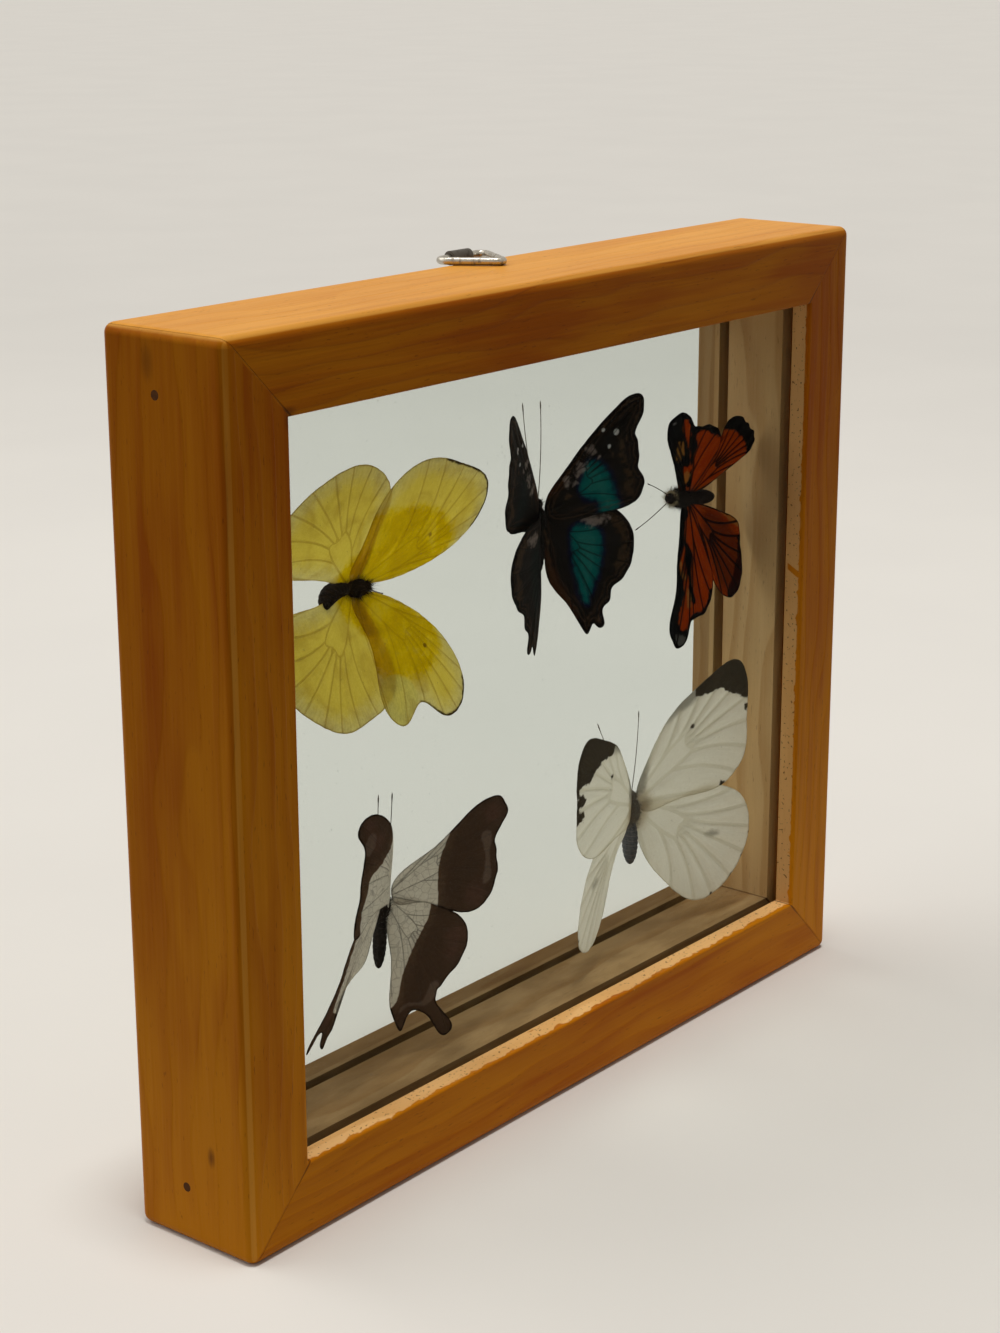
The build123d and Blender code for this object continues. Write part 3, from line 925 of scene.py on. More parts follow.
@dataclass(frozen=True)
class Venation:
    """A wing's veins: a long cell that starts at the root, and ten veins from it to the margin."""

    cell_tip: Point
    cell_width: float
    ends: tuple[Point, ...]  # ten, from the front edge round to the rear

    def in_cell(self, share: float, aside: float) -> np.ndarray:
        """A place given by shares of the cell's length and of its half width."""
        tip = np.array(self.cell_tip)
        side = np.array([-tip[1], tip[0]]) / np.linalg.norm(tip)
        return share * tip + aside * self.cell_width * side

    def cell(self) -> np.ndarray:
        """The cell's outline."""
        return closed_curve([tuple(self.in_cell(*corner)) for corner in CELL_CORNERS], 72)

    def curves(self) -> list[np.ndarray]:
        """Each vein as points: hidden inside the cell at first, and then on to the margin.

        Formula: past its start it is a bent line, whose middle place lies ahead of the start,
        between the cell's direction and the direction of the vein's end.
        """
        tip = unit(np.array(self.cell_tip))
        found = []
        for k, ((share, aside), end) in enumerate(zip(VEIN_STARTS, self.ends)):
            start, end = self.in_cell(share, aside), np.array(end)
            reach = np.linalg.norm(end - start)
            way = (end - start) / reach
            if 0 < k < len(self.ends) - 1:
                way = unit(way + 0.6 * tip)
            middle = start + 0.45 * reach * way
            past_margin = end + (end - middle) * 0.4
            found.append(np.vstack([self.in_cell(0.02, 0.0), bent(start, middle, end, 22), past_margin]))
        return found

    def count(self, plan: np.ndarray) -> tuple[np.ndarray, np.ndarray]:
        """Where places lie among the veins.

        Formula: between vein i and the next one n = i + d1 / (d1 + d2), with d1 and d2 the
        distances from the two, and s = sin(pi n) (d1 + d2) / pi. So s is nought on every vein
        and nowhere else, and near a vein it is the distance from it.

        Args:
            plan: places in the wing's plane, n by 2.

        Returns:
            The signed distance s from the nearest vein, and the count n.
        """
        away, behind = [], []
        rows = np.arange(len(plan))
        for curve in self.curves():
            side = np.diff(curve, axis=0)
            out = off_pieces(plan, curve[:-1], side)
            gap = np.linalg.norm(out, axis=-1)
            i = gap.argmin(1)
            turn = side[i, 0] * out[rows, i, 1] - side[i, 1] * out[rows, i, 0]
            away.append(gap[rows, i])
            behind.append(turn < 0)
        away, passed = np.array(away), np.array(behind).sum(0)
        last = len(self.ends) - 1
        first = away[np.clip(passed - 1, 0, last), rows]
        second = away[np.clip(passed, 0, last), rows]
        both = np.maximum(first + second, 1e-6)
        n = passed - 1 + first / both
        s = np.sin(math.pi * n) * both / math.pi
        outside = 0.5 * (1 - np.exp(-second / 1.5))
        n = np.where(passed == 0, -outside, np.where(passed > last, last + outside, n))
        return np.where((passed == 0) | (passed > last), -second, s), n


@dataclass(frozen=True)
class Patch:
    """One named area of a wing's pattern: closed outlines, and round spots as (span, fore, radius)."""

    name: str
    outlines: tuple[tuple[Point, ...], ...] = ()
    spots: tuple[tuple[float, float, float], ...] = ()

    def distance(self, plan: np.ndarray) -> np.ndarray:
        """Distance from the nearest outline or spot, negative inside."""
        found = [np.full(len(plan), FAR_OFF)]
        found += [outline_distance(plan, closed_curve(o, 12 * len(o))) for o in self.outlines]
        found += [np.hypot(plan[:, 0] - x, plan[:, 1] - y) - r for x, y, r in self.spots]
        return np.min(found, axis=0)


@dataclass(frozen=True)
class WingShape:
    """A wing's outline in its own plane, as (span, towards the head), with its veins and pattern.

    An area that only the butterfly's other wings have is left out of its patches.
    """

    outline: tuple[Point, ...]
    hub: Point
    veins: Venation
    patches: tuple[Patch, ...] = ()
    scallop: float = 0.0


@dataclass(frozen=True)
class WingSet:
    """How a wing is set: which side, how it rises to the front pane, and how it curls."""

    name: str
    shape: WingShape
    side: int
    rise_at_root: float  # degrees
    rise_at_tip: float
    reach: float
    sweep: float = 0.0
    twist: float = 0.0


@dataclass
class Butterfly:
    """One set butterfly: wings, body, feelers, legs and hairs."""

    name: str
    root_x: float
    root_z: float
    lean: float
    nose_ahead: float
    body_length: float
    feeler_tips: tuple[Point, Point]
    wings: tuple[WingSet, ...]
    wing_finish: WingFinish
    body_finish: BodyFinish
    hair_finish: HairFinish
    feeler_finish: HairFinish
    tail_curl: float = 0.0  # how far the abdomen's end bends aside
    root_y: float = 3.25
    glue_y: float = 6.35  # where the body's back meets its drop of glue
    tip_y: float = 3.15
    deep: float = 1.35  # the body's depth over its width
    set_back: float = 0.4  # hindwings pass behind the forewings
    body_radius: float = 1.7
    club: float = 0.07
    skin: float = 0.11  # thickness of a wing
    pleat: float = 0.16
    columns: int = 230
    rings: int = 30
    hairs: int = 700
    hair_length: Point = (0.5, 1.4)
    seed: int = 1
    patch_names: tuple[str, ...] = field(default=(), init=False)

    def __post_init__(self) -> None:
        """Collects the names of the areas that any of the wings has."""
        names = {patch.name for wing in self.wings for patch in wing.shape.patches}
        self.patch_names = tuple(sorted(names))

    def along(self) -> np.ndarray:
        """Direction from the tail to the head."""
        lean = math.radians(self.lean)
        return np.array([math.sin(lean), 0.0, math.cos(lean)])

    def across(self) -> np.ndarray:
        """Direction at right angles to the body, in the plane of the case."""
        lean = math.radians(self.lean)
        return np.array([math.cos(lean), 0.0, -math.sin(lean)])

    def wing_plan(self, shape: WingShape, rng: np.random.Generator) -> tuple[np.ndarray, np.ndarray]:
        """Places over a wing's plane: rings that grow from its hub to its margin.

        Formula: p(u, v) = hub + v (margin(u) - hub), with the margin drawn in between the veins
        and roughened a little.

        Args:
            shape: the wing.
            rng: the source of the small roughness.

        Returns:
            The places, hub first and then ring by ring, and the margin.
        """
        margin = closed_curve(shape.outline, self.columns)
        hub = np.array(shape.hub)
        out = margin - hub
        _, n = shape.veins.count(margin)
        u = np.arange(self.columns) / self.columns * 2 * math.pi
        waves = rng.integers(9, 60, 14)
        rough = (np.sin(u[:, None] * waves + rng.uniform(0, 6.28, 14)) / np.sqrt(waves)).sum(1)
        fan = np.clip(np.minimum(n - 2.5, len(shape.veins.ends) - 1.5 - n), 0, 1)
        shift = shape.scallop * (np.cos(2 * math.pi * n) - 1) * 0.5 * fan + 0.04 * rough
        margin = margin + unit(out) * shift[:, None]
        v = (np.arange(1, self.rings + 1) / self.rings) ** 0.85
        grid = hub + v[:, None, None] * (margin - hub)[None]
        return np.vstack([hub[None], grid.reshape(-1, 2)]), margin

    def wing_surface(self, wing: WingSet, plan: np.ndarray,
                     lift: np.ndarray) -> tuple[np.ndarray, np.ndarray]:
        """The wing's plane bent into place.

        Formula: the rise turns evenly along the span, phi = phi0 + k A, so the level distance is
        (sin(phi) - sin(phi0)) / k and the rise is (cos(phi0) - cos(phi)) / k.

        Args:
            wing: how it is set.
            plan: places in its plane.
            lift: how far each stands off it, towards the front.

        Returns:
            The places in the case, and their normals, which face the front.
        """
        sweep = math.radians(wing.sweep)
        a = plan[:, 0] * math.cos(sweep) - plan[:, 1] * math.sin(sweep)
        b = plan[:, 0] * math.sin(sweep) + plan[:, 1] * math.cos(sweep)
        start = math.radians(wing.rise_at_root) + math.radians(wing.twist) * b / wing.reach
        k = math.radians(wing.rise_at_tip - wing.rise_at_root) / wing.reach
        phi = start + k * a
        if abs(k) > 1e-6:
            level, rise = (np.sin(phi) - np.sin(start)) / k, (np.cos(start) - np.cos(phi)) / k
        else:
            level, rise = a * np.cos(start), a * np.sin(start)
        front = -BACKWARD
        across, along = self.across() * wing.side, self.along()
        normal = np.cos(phi)[:, None] * front - np.sin(phi)[:, None] * across
        back = self.set_back if wing.name.endswith("hindwing") else 0.0
        origin = np.array([self.root_x, self.root_y + back, self.root_z])
        places = (origin + level[:, None] * across + rise[:, None] * front + b[:, None] * along
                  + lift[:, None] * normal)
        return places, normal

    def make_wing(self, wing: WingSet, material: bpy.types.Material) -> None:
        """One wing: two skins a hair apart, joined at the margin, with pleats between its veins.

        Args:
            wing: how it is set.
            material: its finish.
        """
        rng = np.random.default_rng(self.seed + len(wing.name))
        plan, margin = self.wing_plan(wing.shape, rng)
        vein, n = wing.shape.veins.count(plan)
        r = np.hypot(plan[:, 0], plan[:, 1])
        cell = outline_distance(plan, wing.shape.veins.cell())
        edge = np.maximum(-outline_distance(plan, margin), 0.0)
        outer = np.clip(cell / 1.5, 0, 1)
        wave = np.sin(plan @ rng.uniform(-0.25, 0.25, (2, 4)) + rng.uniform(0, 6.28, 4)).sum(1)
        fold = np.abs(np.sin(math.pi * n)) * outer * np.clip(edge / 1.2, 0.3, 1) * np.clip(r / 8, 0, 1)
        lift = self.pleat * fold + 0.07 * wave
        places, normal = self.wing_surface(wing, plan, lift)
        half = self.skin / 2 * np.clip(edge / 0.4 + 0.35, 0, 1)[:, None]
        both = np.vstack([places + half * normal, places - half * normal])
        faces = self.wing_faces(both, normal[1])
        flat = np.column_stack([plan, np.full(len(plan), 7.0 * wing.side)])  # the sides' noise differs
        values = {"plan": flat, "vein": vein, "cell": cell, "margin": edge, "ray": n, "reach": r}
        known = {patch.name: patch for patch in wing.shape.patches}
        for name in self.patch_names:
            values[name] = known.get(name, Patch(name)).distance(plan)
        values = {key: np.concatenate([value, value]) for key, value in values.items()}
        node = f"{self.name}_{wing.name}"
        piece = make_mesh(f"{node}_scaled", (both, faces), material, values)
        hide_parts(node)

    def wing_faces(self, places: np.ndarray, normal: np.ndarray) -> list:
        """The faces of a wing's two skins and of the rim that joins them.

        Args:
            places: the vertices of the front skin and then of the back one.
            normal: the wing's normal near its hub, which the front skin has to face.

        Returns:
            The vertex numbers of each face.
        """
        count, c = len(places) // 2, self.columns
        i = np.arange(c)
        next_i = (i + 1) % c
        hub_fan = np.stack([np.zeros_like(i), 1 + next_i, 1 + i], -1).tolist()
        grid = ring_faces(self.rings, c, 1)
        last = 1 + (self.rings - 1) * c
        rim = np.stack([last + i, last + next_i, count + last + next_i, count + last + i], -1)
        skin = [face[::-1] for face in hub_fan] + grid[:, ::-1].tolist()
        other_skin = [[count + k for k in face] for face in hub_fan] + (grid + count).tolist()
        corner, second, third = places[skin[len(hub_fan)][:3]]
        if np.cross(second - corner, third - corner) @ normal > 0:
            return skin + other_skin + rim[:, ::-1].tolist()
        return [face[::-1] for face in skin + other_skin] + rim.tolist()

    def spine(self, share: np.ndarray) -> np.ndarray:
        """The body's middle line.

        Formula: a straight line, which past 0.55 bends aside with the square of the rest.

        Args:
            share: from 0 at the head to 1 at the tail.

        Returns:
            The places.
        """
        axis_y = self.glue_y - self.body_radius * self.deep
        nose = np.array([self.root_x, axis_y, self.root_z]) + self.along() * self.nose_ahead
        bend = np.clip((share - 0.55) / 0.45, 0, 1) ** 2
        curl = abs(self.tail_curl)
        aside = self.across() * self.tail_curl - BACKWARD * 0.22 * curl
        back = self.along() * (self.body_length * share - 0.45 * curl * bend)[:, None]
        return nose - back + bend[:, None] * aside

    def body_girth(self, share: np.ndarray) -> np.ndarray:
        """The body's radius from head to tail.

        Formula: the largest of three ellipses r sqrt(1 - ((t - m) / h)^2), for head, thorax and
        abdomen, with the abdomen drawn in between its rings.

        Args:
            share: from 0 at the head to 1 at the tail.

        Returns:
            The radii.
        """
        shapes = [r * np.sqrt(np.clip(1 - ((share - m) / h) ** 2, 0, 1)) for m, h, r in BODY_PARTS]
        ringed = np.clip((share - ABDOMEN_START) * 12, 0, 1)
        drawn_in = 1 - 0.07 * ringed * np.abs(np.cos(math.pi * share * BODY_RINGS)) ** 6
        return self.body_radius * np.max(shapes, axis=0) * drawn_in

    def make_body(self) -> None:
        """Head with its two eyes, thorax and ringed abdomen."""
        rings, sides = BODY_MESH
        share = 0.5 - 0.5 * np.cos(np.linspace(0.03, math.pi - 0.03, rings))
        parts = [tube(self.spine(share), np.maximum(self.body_girth(share), 0.05), sides, self.deep)]
        lengths = [np.repeat(share, sides)]
        head = self.spine(np.array([0.06]))[0]
        rings, sides = EYE_MESH
        t = np.linspace(0.05, math.pi - 0.05, rings)
        for side in (-1, 1):
            middle = head + self.across() * side * EYE_RADIUS - BACKWARD * 0.2
            path = middle + np.outer(-np.cos(t) * EYE_HALF_LENGTH, self.across() * side)
            parts.append(tube(path, np.maximum(np.sin(t) * EYE_RADIUS, 0.02), sides))
            lengths.append(np.zeros(rings * sides))
        piece = make_mesh(f"{self.name}_body_furred", joined(parts), self.body_finish.material(),
                          {"length": np.concatenate(lengths)})
        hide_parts(f"{self.name}_body")

    def make_hairs(self) -> None:
        """Short hairs over the head and thorax.

        Formula: each hair is a thin pyramid from a seeded place (t, a) on the body, leaning
        outwards and back.
        """
        rng = np.random.default_rng(self.seed + 40)
        share = rng.uniform(0.03, 0.5, self.hairs)
        angle = rng.uniform(0, 2 * math.pi, self.hairs)
        out = np.cos(angle)[:, None] * self.across() + np.sin(angle)[:, None] * BACKWARD
        root = self.spine(share) + out * (self.body_girth(share) * 0.93)[:, None] * [1.0, self.deep, 1.0]
        lean = rng.uniform(-0.5, 0.7, self.hairs)
        lean = np.where(share < 0.12, -np.abs(lean) - 0.3, lean)
        way = unit(out - self.along() * lean[:, None] + rng.normal(0, 0.25, (self.hairs, 3)))
        length = rng.uniform(*self.hair_length, self.hairs)[:, None]
        tip = root + way * length
        tip[:, 1] = np.minimum(tip[:, 1], HAIR_BACK)
        side = unit(np.cross(way, self.along() + 0.01))
        other = np.cross(way, side)
        turns = [2 * math.pi * k / 3 for k in range(3)]
        base = [root + HAIR_RADIUS * (math.cos(a) * side + math.sin(a) * other) for a in turns]
        places = np.stack([*base, tip], 1).reshape(-1, 3)
        start = 4 * np.arange(self.hairs)[:, None, None]
        corners = np.array([[0, 1, 3], [1, 2, 3], [2, 0, 3], [2, 1, 0]])[None]
        faces = (start + corners).reshape(-1, 3)
        make_mesh(f"{self.name}_hairs", (places, faces), self.hair_finish.material(),
                  {"length": np.repeat(share, 4)}, smooth=False)

    def make_feelers(self, material: bpy.types.Material) -> None:
        """Two curved feelers that thicken to a club at the tip.

        Formula: the radius is that of a thin cone, plus a bell exp(-((t - m) / w)^2) for the club,
        with a slight wave for the feeler's rings.

        Args:
            material: their finish.
        """
        parts = []
        rings, sides = FEELER_MESH
        nose = self.spine(np.array([0.02]))[0]
        t = np.linspace(0, 1, rings)
        for side, (tip_x, tip_z) in zip((-1, 1), self.feeler_tips):
            root = nose + self.across() * side * 0.45
            tip = np.array([tip_x, self.tip_y, tip_z])
            bow = 0.05 * np.linalg.norm(tip - root) * self.across() * side
            club = self.club * np.exp(-(((t - 0.95) / 0.045) ** 2))
            radii = (0.11 - 0.03 * t + club) * np.clip((1.004 - t) / 0.02, 0.2, 1) ** 0.5
            radii *= 1 + 0.05 * np.cos(t * 170)
            parts.append(tube(bent(root, (root + tip) / 2 + bow, tip, rings), radii, sides))
        piece = make_mesh(f"{self.name}_feelers", joined(parts), material)
        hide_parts(f"{self.name}_antennae")

    def make_legs(self, material: bpy.types.Material) -> None:
        """Six folded legs behind the thorax, each a bent tapering tube.

        Args:
            material: their finish.
        """
        parts = []
        rings, sides = LEG_MESH
        for side in (-1, 1):
            out = self.across() * side
            for k, (share, reach) in enumerate(LEGS):
                root = self.spine(np.array([share]))[0] + out * 0.7 + BACKWARD * 0.9
                knee = root + out * reach * 0.6 + BACKWARD * 0.75 + self.along() * (1 - k)
                foot = knee - self.along() * (0.4 + k * 0.9) + out * 0.7 - BACKWARD * 0.15
                parts.append(tube(bent(root, knee, foot, rings), np.linspace(0.12, 0.06, rings), sides))
        make_mesh(f"{self.name}_legs", joined(parts), material)

    def build(self) -> None:
        """Makes every piece of the butterfly."""
        wing_material = self.wing_finish.material()
        for wing in self.wings:
            self.make_wing(wing, wing_material)
            LOG.info("made %s_%s", self.name, wing.name)
        self.make_body()
        self.make_hairs()
        feeler_material = self.feeler_finish.material()
        self.make_feelers(feeler_material)
        self.make_legs(feeler_material)
        LOG.info("made %s body, hairs, feelers and legs", self.name)


# ---------------------------------------------------------------- wing shapes and their patterns
TURQUOISE_FOREWING = WingShape(
    outline=((1.2, 0.8), (4.9, 8), (11.7, 15.7), (18.4, 21.7), (22.6, 24.1), (24.4, 24),
             (25.5, 21.3), (24.6, 18.6), (23.5, 16.4), (24, 13.6), (24.5, 11.6), (24.3, 8.3),
             (25.7, 5.3), (25.2, 2), (22.6, 0.1), (12, -1.6), (2, -1.2)),
    hub=(15.5, 10),
    veins=Venation((12, 8), 2.3, (
        (9.5, 13.3), (14.5, 18.2), (20, 22.5), (24.8, 23.5), (24.7, 18.5), (23.8, 14.2), (24.6, 10),
        (25.6, 5.4), (23.6, 0.8), (17, -1.1))),
    patches=(
        Patch("jewel", (
            ((10.4, 9.6), (12.9, 10.6), (14.8, 9.7), (16.4, 7.9), (17.6, 5.7), (18.4, 2.9),
             (19.5, -0.5), (18, -1.4), (14.8, -1.6), (14.4, 0.2), (13.9, 1.5), (11.6, 2.4),
             (9.8, 3.8), (9.6, 5.2), (10.3, 7.1)),)),
        Patch("frost", (
            ((8.5, 9.7), (10.2, 10.8), (11.6, 9.6), (10.3, 7.8), (9, 7.2)),
            ((10.6, 13.5), (11.7, 13.8), (13.3, 12.6), (12.9, 11.5), (11.4, 12.1)),
            ((5.9, 7.5), (6.8, 8.1), (7.6, 6.7), (6.8, 5.3), (5.9, 6.1))
        ), ((8.4, 6, 0.5), (14.2, 11.4, 0.4))),
        Patch("white", (), ((15.1, 17, 0.42), (18.4, 16.3, 0.68), (16.7, 13.3, 0.42))),
        Patch("beige", (
            ((19, 15.4), (20, 15.4), (20.6, 12), (22.2, 7), (22, 2.6), (20.4, 2.6),
             (20.7, 6.7), (19.2, 12)),
        ), ((19.4, 11.3, 0.8), (20.2, 9.5, 0.8), (17.6, 11.7, 0.6), (23.2, 20.8, 0.6),
            (23.3, 18.8, 0.6), (21.9, 5.9, 0.9), (22.5, 2.8, 0.8), (20.7, 4.3, 0.7), (7.1, 7.4, 0.8),
            (6.9, 3.5, 0.6))),
        Patch("rust", (((1.4, 2.6), (2.2, 4.4), (4.8, 7.2), (6.8, 8.8), (6, 6.4), (3.6, 4)),)),
    ),
    scallop=0.35,
)
TURQUOISE_HINDWING = WingShape(
    outline=((1.2, 0.6), (10, 0.8), (17, 0.2), (21.4, -2.8), (23.4, -6.6), (23.2, -12.1),
             (21.4, -15.9), (18.2, -18.8), (17.4, -21.4), (16, -23), (16.2, -26.6), (14.9, -27),
             (13.7, -25.9), (12.2, -27.9), (10.6, -26.4), (7.4, -21), (2.6, -15), (1.2, -8)),
    hub=(10, -12.5),
    veins=Venation((9, -9.5), 2, (
        (16, -0.2), (21.5, -3), (23.3, -8.5), (22.8, -13), (20.6, -16.8), (17.8, -20.6),
        (15.6, -25), (12.5, -27.6), (8.6, -23.6), (2.6, -15))),
    patches=(
        Patch("jewel", (
            ((8.4, -3.6), (11.1, -3), (14.6, -4.7), (15.6, -7.3), (15.3, -11.4), (14.2, -15.5),
             (13, -18.1), (11.8, -20.9), (10.8, -19.9), (9.5, -16.3), (8.4, -12), (8, -7.7)),)),
        Patch("frost", (
            ((10.3, -2), (12.6, -1.3), (15.3, -1.6), (17.7, -2.4), (16.7, -3.3), (14.5, -4.1),
             (11.8, -3.6)),)),
        Patch("beige", (
            ((17.6, -1.8), (19.5, -2.3), (21.6, -4.6), (22, -9), (20.8, -14), (19.3, -14),
             (20, -9), (19.2, -5.6), (17.6, -3.6)),
        ), ((12.1, -24.2, 0.5), (14.8, -25, 0.5), (2.2, -6.2, 0.5), (1.6, -4, 0.6))),
        Patch("rust", (
            ((0.6, -6.8), (2, -8), (3, -11), (5.3, -15.5), (7.6, -19.5), (9.4, -24.5),
             (6.8, -22.5), (2, -15), (0.4, -9)),)),
    ),
    scallop=0.35,
)
YELLOW_UPPER_FOREWING = WingShape(
    outline=((1.2, 0.8), (0.6, 6.5), (3.2, 20.3), (7.5, 28), (15, 32.4), (21.6, 30.8), (26.2, 21.2),
             (28, 9), (26, 4.4), (22.6, 1.6), (17, -0.4), (9, -1.2), (2, -1.4)),
    hub=(11, 13.5),
    veins=Venation((8.4, 16.5), 2.4, (
        (2.6, 17.5), (5, 24.5), (9, 29.6), (14.5, 32.3), (20.6, 31.4), (24.2, 26.2), (26.2, 21.2),
        (27.4, 15), (28, 9.4), (22.5, 1.7))),
    patches=(
        Patch("vivid", (
            ((0.4, 2), (0.2, 8), (1.3, 16), (4.4, 24), (8.4, 26.6), (12.3, 24.2), (15.5, 19.5),
             (17.4, 12.9), (17.3, 5.9), (15, -2.4), (3.9, -3)),)),
        Patch("tip", (
            ((11, 30.4), (16, 35), (24, 32), (28, 23), (28.6, 15), (26.4, 15.5),
             (25, 21.5), (21.6, 28.4), (16, 31.4)),)),
        Patch("dot", (), ((10.5, 18.5, 0.45),)),
    ),
)
YELLOW_LOWER_FOREWING = WingShape(
    outline=((1.2, 0.8), (1.4, 6), (5.8, 16), (14.1, 24.5), (22.9, 26.1), (27.2, 23),
             (28.1, 18.1), (24.6, 12.4), (28.6, 5.6), (26.6, 2.3), (18, 1.6), (9, 1), (2, -0.5)),
    hub=(13, 12),
    veins=Venation((10.5, 13.5), 2.3, (
        (4.6, 13.6), (8.4, 19.4), (13.4, 24), (19.5, 26.1), (24.4, 25.6), (27.4, 22.4), (28.1, 18),
        (25.2, 13.4), (28.2, 6.8), (21, 1.8))),
    patches=(
        Patch("vivid", (
            ((0.8, 1.6), (2.6, 10.6), (5.4, 15.8), (9.5, 21.2), (13.8, 21.8), (16.9, 19.4),
             (19.4, 15.2), (19.2, 10), (18.6, 5), (16, 1), (2, -0.5)),)),
        Patch("tip", (
            ((20, 24.6), (24, 28), (29, 23), (29.4, 17), (26.5, 13.5), (24, 12),
             (24.6, 13.6), (27.2, 18.5), (26.2, 22.4)),)),
        Patch("dot", (), ((13.5, 17.2, 0.45),)),
        Patch("flap", (((19.6, 2), (20.2, 10.6), (22.4, 11.6), (25.4, 10.8), (29, 6), (28, 1)),)),
    ),
)
YELLOW_UPPER_HINDWING = WingShape(
    outline=((1.7, 0.2), (12, 2.2), (21, 2), (26, -3), (27.9, -10), (25.2, -17.2),
             (19, -24.5), (11, -27.4), (4.8, -22), (2.6, -10)),
    hub=(11, -9.5),
    veins=Venation((12, -9), 2.6, (
        (17, 2.4), (24.5, -1), (27.2, -6.4), (27.8, -11.5), (26, -16), (22.6, -20.6),
        (18.4, -24.8), (12.8, -27.2), (7.4, -25.2), (3.4, -15))),
    patches=(
        Patch("vivid", (((1, 1), (7, 3.4), (11, 3.4), (8, -1), (5, -4), (2, -5)),)),
    ),
)
YELLOW_LOWER_HINDWING = WingShape(
    outline=((1.7, 0.6), (7, 3.6), (14, 6.4), (20.5, 6), (24.6, 1.6), (26.4, -3.4), (27.9, -10),
             (25.2, -17.2), (19, -24.5), (11, -27.4), (4.8, -22), (2.6, -10)),
    hub=(11, -9.5),
    veins=YELLOW_UPPER_HINDWING.veins,
    patches=YELLOW_UPPER_HINDWING.patches,
)
ORANGE_UPPER_FOREWING = WingShape(
    outline=((1.2, 1.2), (6.8, 9.3), (12.7, 15.4), (17.6, 19.8), (20.2, 20.4), (22.2, 18),
             (21.2, 13.2), (18.9, 9.2), (19.2, 5.6), (16.8, -1.7), (13.5, -3.7), (7.5, -3.2),
             (2, -1.2)),
    hub=(13, 8.5),
    veins=Venation((10, 6.6), 1.7, (
        (6.4, 8.8), (10.4, 13.2), (14.6, 17.2), (19, 20.2), (22, 17), (20.9, 12.6), (19, 8.6),
        (19, 4.6), (17.4, 0), (12.5, -3.6))),
    patches=(
        Patch("black", (
            ((0.6, 1.6), (3, 5.6), (13, 18), (18, 22.4), (23.6, 21), (23.4, 15.1),
             (20.2, 9.9), (20.4, 6.5), (18.4, -1.2), (16.4, -4.4), (16.2, -0.9), (17.3, 3.7),
             (17.4, 7.2), (16.5, 8), (16, 8.6), (18.7, 11.6), (20.3, 13.8), (20.7, 15),
             (19.6, 15), (16.6, 12.4), (13.9, 9.3), (11.2, 6.9), (8.4, 5.4), (8.5, 7.3), (6.3, 6.1),
             (3.5, 3)),)),
        Patch("bars", (
            ((16.6, 9.4), (16.3, 8), (10.6, 4.9), (5.1, 2.1), (2.9, 1.2), (2.9, 2.1), (6.2, 3.8),
             (11.2, 6.5)),)),
        Patch("straw", (
            ((15.1, 13.7), (13.1, 11.6), (10.1, 9.6), (10, 10.6), (13, 12.9)),
            ((15.2, 12.1), (13.1, 10.2), (11.3, 9.2), (11.6, 10.3)),
            ((7.6, 5.7), (7.1, 4.5), (4.9, 3.2), (4.1, 3.6)))),
        Patch("ash", (), ((19.6, 18.6, 0.3),)),
    ),
    scallop=0.3,
)
ORANGE_LOWER_FOREWING = WingShape(
    outline=((1.2, 1.2), (7.9, 4.8), (14.5, 6.9), (22.2, 9.2), (31, 13.1), (33.7, 11.4), (32, 6.6),
             (28.1, 3.8), (27.4, 0.4), (22.4, -5.8), (18, -6.8), (8, -3.8), (2, -1.2)),
    hub=(19, 3.5),
    veins=Venation((14, 1.8), 1.6, (
        (10.5, 5.8), (16, 7.3), (22.2, 9.2), (29.4, 12.6), (33.6, 11.6), (31, 5.8), (28, 3.2),
        (26.2, -1.4), (22.8, -5.4), (16, -6.4))),
    patches=(
        Patch("black", (
            ((1.6, 1.6), (6.6, 5.4), (16, 8.8), (25.5, 12.2), (31.6, 14.4), (35.4, 11.8), (34, 6),
             (30.6, 3.6), (28.9, 2), (28.2, -1.1), (24.3, -5.8), (21.4, -7.6), (21.1, -5.6),
             (24.1, -3.1), (26.1, 0.6), (26.4, 3.2), (28.6, 5.4), (30, 8), (29.3, 9.1), (24.8, 7.8),
             (21.2, 5.8), (18.3, 5.6), (15.4, 6.1), (11.7, 4.5), (8.9, 3.2), (5.1, 1.6), (3.3, 0.2)),)),
        Patch("bars", (
            ((9.6, 3.4), (10.9, 1.8), (13.6, 0.8), (13.7, 2.4), (11.8, 3.1)),
            ((13, 3), (18, 3.4), (24, 3), (24.2, 2.2), (18, 2.4), (13.2, 2)))),
        Patch("straw", (
            ((13.8, 5.8), (16.4, 5), (18.6, 4.5), (18.4, 5.5), (16.4, 6.2)),
            ((20.8, 4.1), (23.9, 3.4), (25.3, 4.7), (22.7, 5)))),
        Patch("ash", (((31.2, 11.2), (31.2, 8.7), (31.8, 7.2), (33.1, 9), (32.7, 11)),)),
    ),
    scallop=0.25,
)
